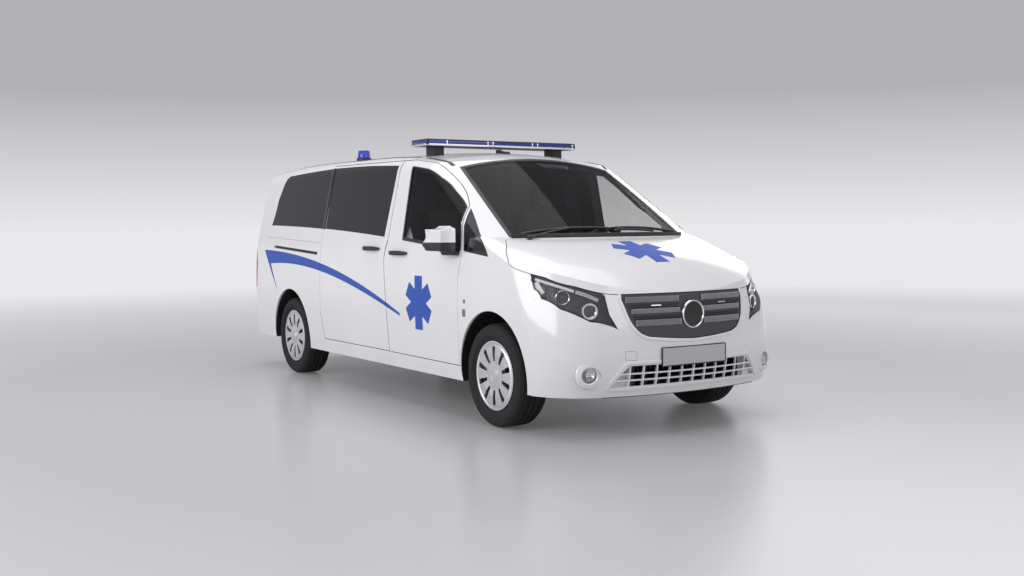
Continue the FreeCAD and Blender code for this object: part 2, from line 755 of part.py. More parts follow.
# ---------------------------------------------------------------- floor and cabin
def ring_cuts():
    """Slots in the floor edges where the door frames pass."""
    cuts = []
    for rows, side in ((DOOR, RIGHT), (DOOR, LEFT), (SLIDING_DOOR, RIGHT)):
        cuts.append(side_prism(rows, side, 18.4, 862).cut(
            side_prism(rows, side, -flange - 0.4, 862)))
    return cuts


LOAD_FLOOR_Z = sz(550.0)
CAB_FLOOR_Z = sz(440.0)


def underbody():
    blocks = [
        box(2300, 5400, -1000, 1000, LOAD_FLOOR_Z - 50, LOAD_FLOOR_Z),
        box(2300, 2340, -1000, 1000, CAB_FLOOR_Z - 40, LOAD_FLOOR_Z),
        box(1150, 2340, -1000, 1000, CAB_FLOOR_Z - 40, CAB_FLOOR_Z),
        box(1150, 1180, -1000, 1000, 300, sz(1085)),
        box(840, 1180, -1000, 1000, sz(1060), sz(1085)),
    ]
    for side in (LEFT, RIGHT):
        ya, yb = sorted((side * 430.0, side * 510.0))
        blocks.append(box(170, 1180, ya, yb, 300, CAB_FLOOR_Z - 40))
        ya, yb = sorted((side * sy(790.0), side * 1000.0))
        blocks.append(box(1330, 2340, ya, yb, 285, CAB_FLOOR_Z - 40))
        blocks.append(box(2300, 3870, ya, yb, 285, LOAD_FLOOR_Z - 50))
    for side in (LEFT, RIGHT):
        ya, yb = sorted((side * 530.0, side * 1000.0))
        low = Part.makeBox(1200, 500, 700, Vector(front_axle_x - 600, ya if ya > 0 else yb - 500, 300))
        blocks.append(cylinder_y(arch_radius + 12, front_axle_x, arch_z, ya, yb).common(low))
        ya, yb = sorted((side * 650.0, side * 1000.0))
        low = Part.makeBox(1200, 400, 700, Vector(rear_axle_x - 600, ya if ya > 0 else yb - 400, 390))
        blocks.append(cylinder_y(arch_radius + 12, rear_axle_x, arch_z, ya, yb).common(low))
    solid = blocks[0].fuse(blocks[1:])
    wells = []
    for side in (LEFT, RIGHT):
        ya, yb = sorted((side * 538.0, side * 1100.0))
        wells.append(cylinder_y(arch_radius + 4, front_axle_x, arch_z, ya, yb))
        ya, yb = sorted((side * 658.0, side * 1100.0))
        wells.append(cylinder_y(arch_radius + 4, rear_axle_x, arch_z, ya, yb))
    bay_doors = [end_prism([(-1000, 1085.5, 0), (1000, 1085.5, 0), (1000, 1400, 0), (-1000, 1400, 0)],
                           700, 1300)]
    solid = solid.cut(wells + bay_doors)
    return biggest(cavity.common(solid).cut(ring_cuts()))


keep("underbody", underbody())


half_column, column_length = 28.0, 150.0
STEERING_PLACE = Placement(Vector(sx(1575.0), sy(430.0), sz(1110.0)),
                           Rotation(Vector(0, 1, 0), -62.0))


def dashboard():
    """Fascia across the cab, with a well that the steering column seats in."""
    rows = [
        # s, z, bulge
        (880, 1086, 0), (880, 1200, 0), (1250, 1200, 14), (1440, 1150, 10), (1470, 1060, 6),
        (1400, 900, 0), (1300, 760, 0), (1182, 760, 0), (1182, 1086, 0),
    ]
    shape = through_prism(rows).common(Part.makeBox(3000, 2 * sy(848), 3000,
                                                    Vector(0, -sy(848), -100)))
    well = Part.makeBox(2 * half_column + 2 * SEAT_GAP, 2 * half_column + 2 * SEAT_GAP, 400,
                        Vector(-half_column - SEAT_GAP, -half_column - SEAT_GAP,
                               -column_length - SEAT_GAP))
    well.Placement = STEERING_PLACE
    return biggest(cavity.common(shape).cut(well))


keep("dashboard", dashboard())


# ---------------------------------------------------------------- sketched parts
def origin_feature(body, role):
    for feature in body.Origin.OriginFeatures:
        if feature.Role == role:
            return feature
    raise RuntimeError("no origin feature " + role)


def new_body(name):
    body = doc.addObject("PartDesign::Body", name)
    body.Label = name
    if hasattr(body, "AllowCompound"):
        body.AllowCompound = True
    bodies.append(body)
    return body


def outline_sketch(body, plane, rows, offset=0.0):
    """Sketch on one origin plane, from rows (a, b, bulge)."""
    sketch = body.newObject("Sketcher::SketchObject", body.Name + "_outline")
    sketch.AttachmentSupport = [(origin_feature(body, plane), "")]
    sketch.MapMode = "FlatFace"
    sketch.AttachmentOffset = Placement(Vector(0, 0, offset), Rotation())
    for i, row in enumerate(rows):
        (a, b), (c, d) = row[:2], rows[(i + 1) % len(rows)][:2]
        bulge = row[2] if len(row) > 2 else 0.0
        if bulge == 0.0:
            sketch.addGeometry(Part.LineSegment(Vector(a, b, 0), Vector(c, d, 0)), False)
        else:
            run = math.hypot(c - a, d - b)
            ma = (a + c) / 2.0 + bulge * (d - b) / run
            mb = (b + d) / 2.0 - bulge * (c - a) / run
            sketch.addGeometry(Part.Arc(Vector(a, b, 0), Vector(ma, mb, 0), Vector(c, d, 0)), False)
    return sketch


def pad(body, plane, rows, start, height, backwards=False):
    sketch = outline_sketch(body, plane, rows, start)
    feature = body.newObject("PartDesign::Pad", body.Name + "_pad")
    feature.Profile = sketch
    feature.Length = height
    feature.Reversed = backwards
    return feature


def revolve(body, plane, rows, axis):
    sketch = outline_sketch(body, plane, rows)
    feature = body.newObject("PartDesign::Revolution", body.Name + "_turned")
    feature.Profile = sketch
    feature.ReferenceAxis = (origin_feature(body, axis), [""])
    feature.Angle = 360.0
    return feature


def rectangle(a0, a1, b0, b1):
    return [(a0, b0), (a1, b0), (a1, b1), (a0, b1)]


# tyre and wheel profiles: y from the wheel's middle plane (outboard positive), radius
half_tread = tyre_width / 2.0


def tyre_rows(side):
    k = tyre_width / 225.0
    r = tyre_radius
    rows = [
        (-88, rim_radius), (-112, rim_radius + 45), (-112.5, rim_radius + 72), (-104, r - 15),
        (-86, r - 3), (-62, r - 0.6), (-60, r - 8), (-50, r - 8), (-48, r), (-17, r), (-15, r - 8),
        (-5, r - 8), (-3, r), (22, r), (24, r - 8), (34, r - 8), (36, r), (62, r - 0.6),
        (86, r - 3), (104, r - 15), (112.5, rim_radius + 72), (112, rim_radius + 45),
        (88, rim_radius),
    ]
    rows = [(side * y * k, z) for y, z in rows]
    return rows if side > 0 else rows[::-1]


def wheel_rows(side):
    k = tyre_width / 225.0
    r = rim_radius - SEAT_GAP
    hub = size("hub_bore") / 2.0
    rows = [
        (-86, r - 8), (-86, r), (95, r), (97, r + 6), (99, r + 6), (100, r - 2), (96, r - 12),
        (101, r - 24), (103, r * 0.62), (98, r * 0.40), (101, 44), (103, 12), (103, 0), (84, 0),
        (84, hub), (50, hub), (50, hub + 34), (82, hub + 40), (84, r - 30), (70, r - 12), (60, r - 8),
    ]
    rows = [(side * y * k, z) for y, z in rows]
    return rows if side > 0 else rows[::-1]


def tyre(name, x, y, side):
    body = new_body(name)
    revolve(body, "YZ_Plane", tyre_rows(side), "Y_Axis")
    body.Placement = Placement(Vector(x, y, hub_z), Rotation())


def wheel(name, x, y, side):
    body = new_body(name)
    revolve(body, "YZ_Plane", wheel_rows(side), "Y_Axis")
    body.Placement = Placement(Vector(x, y, hub_z), Rotation())
    slots = 10
    ra, rb = rim_radius * 0.43, rim_radius * 0.84
    wa, wb = rim_radius * 0.045, rim_radius * 0.085
    sketch = outline_sketch(body, "XZ_Plane", [(-wa, ra), (wa, ra), (wb, rb, 8), (-wb, rb)],
                            -side * 130.0)
    pocket = body.newObject("PartDesign::Pocket", name + "_slot")
    pocket.Profile = sketch
    pocket.Length = 62.0
    pocket.Reversed = side > 0
    body.Tip = pocket
    pattern = body.newObject("PartDesign::PolarPattern", name + "_slots")
    pattern.Originals = [pocket]
    pattern.Axis = (origin_feature(body, "Y_Axis"), [""])
    pattern.Angle = 360.0
    pattern.Occurrences = slots
    body.Tip = pattern


WHEELS = [
    # end, x, half track, side name, side
    ("front_right", front_axle_x, half_track_front, RIGHT),
    ("front_left", front_axle_x, half_track_front, LEFT),
    ("rear_right", rear_axle_x, half_track_rear, RIGHT),
    ("rear_left", rear_axle_x, half_track_rear, LEFT),
]
for corner, x, track, side in WHEELS:
    tyre("tyre_" + corner, x, side * track, side)
    wheel("wheel_" + corner, x, side * track, side)


def knuckle(name, side):
    """Steering knuckle: upright post, spindle and brake disc."""
    spindle = size("hub_bore") / 2.0 - SEAT_GAP
    y0, y1 = sorted((side * kingpin_y, side * (kingpin_y + 90.0)))
    post = Part.makeCylinder(26, 205, Vector(front_axle_x, side * kingpin_y, hub_z - 74.2))
    stub = cylinder_y(spindle, front_axle_x, hub_z, y0, y1)
    y0, y1 = sorted((side * (kingpin_y + 32.0), side * (kingpin_y + 54.0)))
    disc = cylinder_y(150, front_axle_x, hub_z, y0, y1)
    y0, y1 = sorted((side * (kingpin_y + 20.0), side * (kingpin_y + 40.0)))
    boss = cylinder_y(48, front_axle_x, hub_z, y0, y1)
    keep(name, post.fuse([stub, disc, boss]))


knuckle("knuckle_right", RIGHT)
knuckle("knuckle_left", LEFT)


def front_subframe():
    z = hub_z - 74.5
    beam = box(760, 1030, -440, 440, z - 50, 299.7)
    arms = box(868, 922, -kingpin_y - 20, kingpin_y + 20, z - 40, z)
    return beam.fuse(arms)


keep("front_subframe", front_subframe())


def rear_axle():
    spindle = size("hub_bore") / 2.0 - SEAT_GAP
    inner_y = half_track_rear - 10.0
    shape = cylinder_y(spindle, rear_axle_x, hub_z, -inner_y - 65, inner_y + 65)
    parts = [cylinder_y(42, rear_axle_x, hub_z, -inner_y, inner_y)]
    for side in (LEFT, RIGHT):
        y0, y1 = sorted((side * inner_y, side * (inner_y + 22.0)))
        parts.append(cylinder_y(140, rear_axle_x, hub_z, y0, y1))
        y0, y1 = sorted((side * 470.0, side * 550.0))
        parts.append(Part.makeBox(110, y1 - y0, LOAD_FLOOR_Z - 50.3 - hub_z,
                                  Vector(rear_axle_x - 55, y0, hub_z)))
        parts.append(Part.makeBox(480, y1 - y0, 50, Vector(rear_axle_x, y0, hub_z - 25)))
        parts.append(Part.makeBox(60, y1 - y0, LOAD_FLOOR_Z - 50.3 - hub_z + 25,
                                  Vector(rear_axle_x + 420, y0, hub_z - 25)))
    return shape.fuse(parts)


keep("rear_axle", rear_axle())

engine = new_body("engine_block")
pad(engine, "YZ_Plane", [(-500, 400.3), (500, 400.3), (500, 440), (330, 470), (330, 860),
                         (250, 930), (-250, 930), (-330, 860), (-330, 470), (-500, 440)],
    sx(960.0), sx(420.0) - sx(960.0))

bulkhead = new_body("bulkhead")
z0 = LOAD_FLOOR_Z + 0.3
pad(bulkhead, "YZ_Plane", [(-sy(840), z0), (sy(840), z0), (sy(850), sz(1150)), (sy(745), sz(1720)),
                           (sy(640), sz(1784)), (-sy(640), sz(1784)), (-sy(745), sz(1720)),
                           (-sy(850), sz(1150))],
    sx(2338.0), 22.0)

seats = new_body("front_seats")
half_seat = size("seat_width") / 2.0
for side in (RIGHT, LEFT):
    # the section is padded towards -Y, from its left face
    start = -(side * 430.0 + half_seat)
    z0 = CAB_FLOOR_Z + 0.3
    pad(seats, "XZ_Plane", [
        (sx(1700), z0), (sx(1700), z0 + 230), (sx(1660), z0 + 250), (sx(1655), z0 + 330, 12),
        (sx(1720), z0 + 375), (sx(2080), z0 + 350, -14), (sx(2195), z0 + 980, 20),
        (sx(2285), z0 + 980), (sx(2215), z0 + 330), (sx(2190), z0)], start, 2 * half_seat)
    pad(seats, "XZ_Plane", [
        (sx(2205), z0 + 970), (sx(2205), z0 + 1010), (sx(2180), z0 + 1030, 10),
        (sx(2205), z0 + 1180), (sx(2275), z0 + 1180), (sx(2275), z0 + 970)],
        start + half_seat - 130.0, 260.0)

wheel_r = size("steering_wheel_diameter") / 2.0
steering = new_body("steering_wheel")
revolve(steering, "XZ_Plane", [(wheel_r - 16, -13), (wheel_r + 12, -13, 4), (wheel_r + 12, 13),
                               (wheel_r - 16, 13, 4)], "Z_Axis")
pad(steering, "XY_Plane", rectangle(-wheel_r + 10, wheel_r - 10, -24, 24), -8.0, 14.0)
pad(steering, "XY_Plane", rectangle(-70, 70, -80, 80), -30.0, 44.0)
pad(steering, "XY_Plane", rectangle(-half_column, half_column, -half_column, half_column),
    -column_length, column_length - 25.0)
steering.Placement = STEERING_PLACE

plate_y, plate_z = size("plate_width") / 2.0, size("plate_height")
front_plate = new_body("front_plate")
pad(front_plate, "YZ_Plane", rectangle(-plate_y, plate_y, sz(440), sz(440) + plate_z),
    sx(9.5), 9.0)
rear_plate = new_body("rear_plate")
pad(rear_plate, "YZ_Plane", rectangle(-plate_y, plate_y, sz(834), sz(834) + plate_z),
    sx(5328.3) - 8.0, 8.0)


# ---------------------------------------------------------------- roof equipment
def light_bar():
    half_len, half_deep = size("lightbar_length") / 2.0, size("lightbar_depth") / 2.0
    x = sx(2345.0)
    top = sz(1976.0)
    bar = Part.makeBox(2 * half_deep, 2 * half_len, 50, Vector(x - half_deep, -half_len, top - 50))
    bar = bar.makeFillet(12, bar.Edges)
    feet = []
    for side in (RIGHT, LEFT):
        feet.append(Part.makeBox(120, 90, 130, Vector(x - 60, side * 550.0 - 45, top - 165)))
    rise = Vector(0, 0, SEAT_GAP)
    shape = bar.fuse([foot.cut(outer).translated(rise) for foot in feet])
    fin_rows = [(2080, 1850, 0), (2100, 1886, 6), (2230, 1906, 0), (2236, 1850, 0)]
    fin = through_prism(fin_rows).common(Part.makeBox(900, 44, 3000, Vector(sx(2500), -70, 0)))
    return Part.Compound([shape, biggest(fin.cut(outer)).translated(rise)])


keep("light_bar", light_bar())


def beacon():
    radius = size("beacon_diameter") / 2.0
    x, y = sx(3500.0), -sy(600.0)
    lamp = Part.makeCone(radius, radius * 0.86, 62, Vector(x, y, sz(1896.0)))
    foot = Part.makeCylinder(radius + 5, 70, Vector(x, y, sz(1896.0) - 70))
    return lamp.fuse(foot).cut(outer).translated(Vector(0, 0, SEAT_GAP))


keep("beacon", biggest(beacon()))


MIRROR_PLAN = [
    # s, y, bulge: the head sweeps back from the door's front corner
    (1262, -985, 18), (1340, -1075, 14), (1500, -1138, 12), (1532, -1120, 4), (1470, -1000, 4),
    (1420, -972, 8),
]
MIRROR_FACE = [
    # y, z, bulge: outline seen from ahead
    (-960, 1140, 0), (-1100, 1148, 10), (-1136, 1190, 26), (-1105, 1298, 14), (-1010, 1320, 8),
    (-960, 1300, 0),
]
MIRROR_ARM = [
    # s, y, bulge: foot against the door skin
    (1278, -900, 0), (1292, -1000, 0), (1425, -1030, 0), (1410, -900, 0),
]


def mirror(side):
    """Door mirror: swept-back head on an arm that lies on the door skin."""
    head = plan_prism(MIRROR_PLAN, sz(1120), sz(1340)).common(end_prism(MIRROR_FACE, 1100, 1700))
    arm = plan_prism(MIRROR_ARM, sz(1118), sz(1148.5)).cut(outer).translated(
        Vector(0, -SEAT_GAP, 0))
    arm = arm.fuse(plan_prism(MIRROR_ARM, sz(1148), sz(1180)).common(
        plan_prism(MIRROR_PLAN, sz(1120), sz(1340))))
    shape = biggest(head.fuse(arm))
    return shape if side == RIGHT else mirrored(shape)


keep("mirror_right", mirror(RIGHT))
keep("mirror_left", mirror(LEFT))


doc.recompute()
os.makedirs("parts", exist_ok=True)
for item in bodies:
    shape = item.Shape
    if shape.isNull() or not shape.isValid() or len(shape.Solids) == 0:
        raise RuntimeError("bad shape: " + item.Label)
    shape.exportStep("parts/" + item.Label + ".step")
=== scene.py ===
# %% [markdown]
# # A van-bodied ambulance in a studio
# The vehicle comes in as a fixed frame of named sheet-metal, glass, rubber and plastic nodes.
# This lesson gives each of them its finish, adds the pieces that are too fine for the frame, and
# sets up a plain pale studio. Everything is in metres: +X is forward, +Y is the vehicle's left.

# %% Load the frame
import math

import bmesh
import bpy
import numpy as np
from mathutils import Matrix, Vector
from mathutils.bvhtree import BVHTree


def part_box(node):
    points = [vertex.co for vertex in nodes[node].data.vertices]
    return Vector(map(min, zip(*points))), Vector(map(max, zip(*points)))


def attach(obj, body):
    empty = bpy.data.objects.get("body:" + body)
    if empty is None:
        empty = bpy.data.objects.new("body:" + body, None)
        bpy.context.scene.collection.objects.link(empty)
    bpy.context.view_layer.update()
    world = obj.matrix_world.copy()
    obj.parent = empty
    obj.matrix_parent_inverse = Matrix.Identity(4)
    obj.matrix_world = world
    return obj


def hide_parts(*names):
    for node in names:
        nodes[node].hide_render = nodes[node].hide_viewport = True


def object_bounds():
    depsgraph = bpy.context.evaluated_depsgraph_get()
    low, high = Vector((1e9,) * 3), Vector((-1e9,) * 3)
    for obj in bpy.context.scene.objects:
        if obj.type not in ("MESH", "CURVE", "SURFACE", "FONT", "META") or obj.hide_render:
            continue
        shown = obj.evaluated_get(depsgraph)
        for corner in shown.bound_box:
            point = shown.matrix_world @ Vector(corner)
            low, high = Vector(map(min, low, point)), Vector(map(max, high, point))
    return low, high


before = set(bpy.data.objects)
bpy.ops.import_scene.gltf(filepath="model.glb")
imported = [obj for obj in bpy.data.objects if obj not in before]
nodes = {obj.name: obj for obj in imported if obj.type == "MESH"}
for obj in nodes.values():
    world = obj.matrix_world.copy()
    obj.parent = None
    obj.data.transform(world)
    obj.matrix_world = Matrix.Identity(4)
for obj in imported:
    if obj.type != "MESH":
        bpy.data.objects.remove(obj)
cad_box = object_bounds()
print("nodes", len(nodes), "length", round(cad_box[1].x - cad_box[0].x, 3))

# %% [markdown]
# ## Where things are
# A van's designer measures backwards from the nose, so a station is a distance behind the foremost
# point. `ahead` turns a station into the frame's X.

# %% Stations and sides
NOSE_X = cad_box[1].x
RIGHT, LEFT = -1.0, 1.0
SIDES = ((RIGHT, "right"), (LEFT, "left"))
CORNERS = ("front_right", "front_left", "rear_right", "rear_left")


def ahead(station):
    """Frame X of a point that lies `station` metres behind the nose."""
    return NOSE_X - station


def linked(name, data):
    """New object with this data, in the scene."""
    made = bpy.data.objects.new(name, data)
    bpy.context.scene.collection.objects.link(made)
    return made


# %% [markdown]
# ## Camera, floor and light
# A long soft box overhead and two upright ones give white paint its gentle gradients. The pale
# background is the world's own colour and the floor's, the far floor lifted by a painted glow, so the
# lamps can stay at a level at which a colour renders about as it is written.

# %% Camera
CAMERA_PLACE = Vector((8.142, -4.862, 1.329))
CAMERA_TURN, CAMERA_RISE, CAMERA_ROLL = map(math.radians, (57.33, 3.20, -0.517))


def aim(turn, rise, roll):
    """Rotation whose Z points back at the viewer: (sin t cos r, -cos t cos r, sin r), then rolled."""
    back = Vector((math.sin(turn) * math.cos(rise), -math.cos(turn) * math.cos(rise), math.sin(rise)))
    side = Vector((math.cos(turn), math.sin(turn), 0.0))
    rolled = side * math.cos(roll) + back.cross(side) * math.sin(roll)
    return Matrix((rolled, back.cross(rolled), back)).transposed().to_4x4()


camera = linked("camera", bpy.data.cameras.new("camera"))
camera.data.sensor_width = 36.0
camera.data.lens = 40.49
camera.matrix_world = Matrix.Translation(CAMERA_PLACE) @ aim(CAMERA_TURN, CAMERA_RISE, CAMERA_ROLL)
bpy.context.scene.camera = camera
bpy.context.scene.view_settings.view_transform = "Standard"


# %% Soft boxes
def soft_box(name, place, target, width, height, power):
    """Area lamp at `place` that faces `target`."""
    lamp = bpy.data.lights.new(name, "AREA")
    lamp.shape, lamp.size, lamp.size_y, lamp.energy = "RECTANGLE", width, height, power
    facing = (Vector(target) - Vector(place)).to_track_quat("-Z", "Y")
    linked(name, lamp).matrix_world = Matrix.Translation(place) @ facing.to_matrix().to_4x4()
    print(name, width, "by", height, "m,", power, "W")


soft_box("overhead_box", (0.0, 0.0, 6.5), (0.0, 0.0, 0.0), 9.0, 6.0, 225.0)
soft_box("front_box", (9.0, 2.5, 4.5), (1.5, 0.0, 0.8), 5.0, 4.0, 110.0)
soft_box("flank_box", (1.0, -9.5, 4.5), (-0.5, 0.0, 0.8), 9.0, 4.0, 470.0)
soft_box("far_box", (-2.0, 9.0, 4.5), (0.0, 0.0, 0.8), 8.0, 4.0, 130.0)

# %% [markdown]
# ## Finishes
# An effect that several finishes share is a shader node group, built once. Each group turns Object
# coordinates into a mask, a height or a colour; the shader and its constants stay in the material.


# %% Signal: the output of a node, which can be reckoned with
class Signal:
    """Output of a node. Arithmetic on it adds Math nodes; a comparison gives 1 where it holds."""

    def __init__(self, wires, socket):
        self.wires, self.socket = wires, socket

    def __add__(self, other):
        return self.wires.math("ADD", self, other)

    def __sub__(self, other):
        return self.wires.math("SUBTRACT", self, other)

    def __rsub__(self, other):
        return self.wires.math("SUBTRACT", other, self)

    def __mul__(self, other):
        return self.wires.math("MULTIPLY", self, other)

    def __truediv__(self, other):
        return self.wires.math("DIVIDE", self, other)

    def __lt__(self, other):
        return self.wires.math("LESS_THAN", self, other)

    def __gt__(self, other):
        return self.wires.math("GREATER_THAN", self, other)

    def __abs__(self):
        return self.wires.math("ABSOLUTE", self)


# %% Wires: nodes and links of one tree
class Wires:
    """Short calls for the nodes of one tree; most add a node and return its output."""

    def __init__(self, tree):
        self.tree = tree

    def feed(self, node, inputs):
        """Gives inputs, by name or number, a signal or a constant each."""
        for key, value in inputs.items():
            if isinstance(value, Signal):
                self.tree.links.new(value.socket, node.inputs[key])
            else:
                node.inputs[key].default_value = value

    def node(self, kind, inputs, output=0, **settings):
        made = self.tree.nodes.new("ShaderNode" + kind)
        for key, value in settings.items():
            setattr(made, key, value)
        self.feed(made, inputs)
        return Signal(self, made.outputs[output])

    def math(self, operation, *values):
        return self.node("Math", dict(enumerate(values)), operation=operation)

    def highest(self, first, *others):
        for other in others:
            first = self.math("MAXIMUM", first, other)
        return first

    def mix(self, share, a, b):
        a, b = (colour if isinstance(colour, Signal) else (*colour, 1.0) for colour in (a, b))
        return self.node("Mix", {"Factor": share, "A": a, "B": b}, "Result", data_type="RGBA")

    def axes(self, vector):
        node = self.node("SeparateXYZ", {0: vector}).socket.node
        return [Signal(self, socket) for socket in node.outputs]

    def place(self):
        return self.node("TexCoord", {}, "Object")

    def noise(self, vector, scale, detail=2.0):
        return self.node("TexNoise", {"Vector": vector, "Scale": scale, "Detail": detail}, "Fac")

    def ramp(self, value, low, high, to_low=0.0, to_high=1.0):
        return self.node("MapRange", dict(enumerate((value, low, high, to_low, to_high))), clamp=True)

    def group(self, effect, **values):
        """Outputs by name of a shared effect whose inputs are set by name (_ stands for a space)."""
        made = self.tree.nodes.new("ShaderNodeGroup")
        made.node_tree = effect.tree
        self.feed(made, {key.replace("_", " "): value for key, value in values.items()})
        return {socket.name: Signal(self, socket) for socket in made.outputs}


# %% Empty groups
def new_group(name, inputs, outputs):
    """Wires of an empty group of float sockets, its inputs as signals, and its output node."""
    tree = bpy.data.node_groups.new(name, "ShaderNodeTree")
    for label, value in inputs.items():
        socket = tree.interface.new_socket(label, in_out="INPUT", socket_type="NodeSocketFloat")
        socket.default_value = value
    for label in outputs:
        tree.interface.new_socket(label, in_out="OUTPUT", socket_type="NodeSocketFloat")
    print("effect", name, "gives", *outputs)
    wires = Wires(tree)
    given = {s.name: Signal(wires, s) for s in tree.nodes.new("NodeGroupInput").outputs if s.name}
    return wires, given, tree.nodes.new("NodeGroupOutput")


# %% [markdown]
# ## Shared effects
# Moulded plastic has a fine leathery grain; the body gets darker, rougher patches near the road; lacquer
# has a faint ripple. Each of these is one group.

# %% Grain: height and mottle of a moulded surface
GRAIN, given, result = new_group("moulded_grain", {"Scale": 900.0}, ("Height", "Mottle"))
spot = GRAIN.place()
cells = GRAIN.node("TexVoronoi", {"Vector": spot, "Scale": given["Scale"]}, "Distance", feature="F1")
GRAIN.feed(result, {"Height": GRAIN.math("POWER", cells, 2.0), "Mottle": GRAIN.noise(spot, 9.0, 4.0)})

# %% Lacquer ripple: height and faint tone change of sprayed paint
LACQUER, given, result = new_group("lacquer_ripple", {"Scale": 260.0}, ("Height", "Tone"))
spot = LACQUER.place()
LACQUER.feed(result, {"Height": LACQUER.noise(spot, given["Scale"], 1.0),
                      "Tone": LACQUER.ramp(LACQUER.noise(spot, 1.3, 3.0), 0.3, 0.7)})

# %% Low patches: how much a point is darkened and roughened, more the nearer it lies to the road
LOW_PATCHES, given, result = new_group("low_patches", {"Top": 0.45, "Strength": 0.3}, ("Dirt",))
spot = LOW_PATCHES.place()
low = LOW_PATCHES.ramp(LOW_PATCHES.axes(spot)[2], 0.15, given["Top"], 1.0, 0.0)
patchy = LOW_PATCHES.ramp(LOW_PATCHES.noise(spot, 6.0, 5.0), 0.35, 0.75)
LOW_PATCHES.feed(result, {"Dirt": low * patchy * given["Strength"]})

# %% [markdown]
# ## Stripes and stars
# Decals are cut film with crisp edges, so they are masks worked out from the place on the body:
# a star is three crossed bars, and the stripe lies between two cubic curves of X.

# %% Star mask: three bars through a centre, turned by 60 degrees from each other
STAR, given, result = new_group("six_armed_star", {"Across": 0.0, "Along": 0.0, "Half Width": 0.057,
                                                   "Half Length": 0.195}, ("Mask",))
mask = 0.0
for arm in range(3):
    cosine, sine = math.cos(math.radians(60.0 * arm)), math.sin(math.radians(60.0 * arm))
    across = given["Across"] * cosine + given["Along"] * sine
    along = given["Along"] * cosine - given["Across"] * sine
    inside = (abs(across) < given["Half Width"]) * (abs(along) < given["Half Length"])
    mask = STAR.highest(inside, mask)
STAR.feed(result, {"Mask": mask})


# %% Stripe mask: between two cubics of X, with a slanted heel that runs down behind it
def cubic(x, factors):
    """a x^3 + b x^2 + c x + d, nested as ((a x + b) x + c) x + d."""
    value = factors[0]
    for factor in factors[1:]:
        value = x * value + factor
    return value


STRIPE_TOP = (-0.00351, -0.06634, -0.25675, 0.82237)
STRIPE_FOOT = (0.00683, -0.04623, -0.22333, 0.77733)
STRIPE_FRONT, STRIPE_PEAK, FLANK_FROM_Y = 0.512, 1.101, 0.80

STRIPE, given, result = new_group("flank_stripe", {}, ("Mask",))
x, y, z = STRIPE.axes(STRIPE.place())
heel = (1.100 - z) * 0.868 - 2.260
toe = (0.979 - z) * 0.652 - 2.099
band = (z < cubic(x, STRIPE_TOP)) * (z > cubic(x, STRIPE_FOOT)) * (x > heel)
tail = (x > heel) * (x < toe) * (z < STRIPE_PEAK)
mask = STRIPE.highest(band, tail) * (x < STRIPE_FRONT) * (abs(y) > FLANK_FROM_Y)
STRIPE.feed(result, {"Mask": mask})

# %% [markdown]
# ## Paint
# The body is one batch of white enamel. Blue film and the black liners of the wheel arches and the
# intake are parts of the same material, because they lie on the same panels.

# %% Material helpers
def new_material(name, color, roughness, **inputs):
    """Material with one Principled BSDF whose constants sit on its own sockets."""
    made = bpy.data.materials.new(name)
    made.use_nodes = True
    wires, shader = Wires(made.node_tree), made.node_tree.nodes["Principled BSDF"]
    wires.feed(shader, {"Base Color": (*color, 1.0), "Roughness": roughness, "Coat Roughness": 0.03})
    wires.feed(shader, {key.replace("_", " "): value for key, value in inputs.items()})
    print("material", name)
    return made, wires, shader


def bump(wires, height, strength, distance=0.0004):
    """Normal of a surface that this height raises."""
    return wires.node("Bump", {"Strength": strength, "Distance": distance, "Height": height}, "Normal")


WHITE, WORN_WHITE, LOW_PATCH_TONE = (0.80, 0.80, 0.82), (0.77, 0.77, 0.79), (0.32, 0.30, 0.28)
BLUE = (0.016, 0.080, 0.43)
BLACK = (0.012, 0.012, 0.014)
ARCH_RADIUS, ARCH_LIFT, ARCH_HALF_WIDTH = 0.4068, 0.0185, 0.944


# %% Black liners and intake cells, as masks on the enamel
def arch_mask(wires, x, y, z):
    """1 inside the wheel arches: nearer to an axle than the arch's radius and inboard of the skin."""
    near = []
    for name in ("tyre_front_right", "tyre_rear_right"):
        low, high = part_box(name)
        along = x - (low.x + high.x) / 2
        above = z - ((low.z + high.z) / 2 + ARCH_LIFT)
        near.append(along * along + above * above < ARCH_RADIUS ** 2)
    return wires.highest(*near) * (abs(y) < ARCH_HALF_WIDTH)


def intake_mask(x, y, z):
    """1 in the middle of the lower intake, deeper than 13 mm behind the nose."""
    depth = NOSE_X - x - y * y / 4.8 - (0.45 - z) * 0.21
    return (depth > 0.013) * (abs(y) < 0.452) * (z > 0.317) * (z < 0.468)


# %% White enamel with its decals
def white_enamel():
    """Enamel; film masks choose between white and blue, low patches darken it towards the bottom, ripple
    bends light.
    """
    made, w, shader = new_material("white_enamel", WHITE, 0.22, Coat_Weight=0.6)
    x, y, z = w.axes(w.place())
    lacquer = w.group(LACQUER)
    low_patch = w.group(LOW_PATCHES, Top=0.42, Strength=0.22)["Dirt"]
    door = w.group(STAR, Across=x - ahead(1.875), Along=z - 0.766)["Mask"] * (abs(y) > FLANK_FROM_Y)
    lid = w.group(STAR, Along=x - ahead(0.524), Across=y - 0.012, Half_Length=0.206)["Mask"]
    film = w.highest(w.group(STRIPE)["Mask"], door, lid * (z > 1.03))
    hollow = w.highest(arch_mask(w, x, y, z), intake_mask(x, y, z))
    painted = w.mix(film, w.mix(lacquer["Tone"], WHITE, WORN_WHITE), BLUE)
    # The white turns a darker warm grey in patches towards the bottom of the body.
    painted = w.mix(low_patch, painted, LOW_PATCH_TONE)
    dull = w.highest(film, hollow) * 0.28
    w.feed(shader, {"Base Color": w.mix(hollow, painted, BLACK), "Roughness": low_patch * 0.8 + 0.2 + dull,
                    "Coat Weight": 0.5 - dull * 1.7, "Normal": bump(w, lacquer["Height"], 0.03)})
    return made


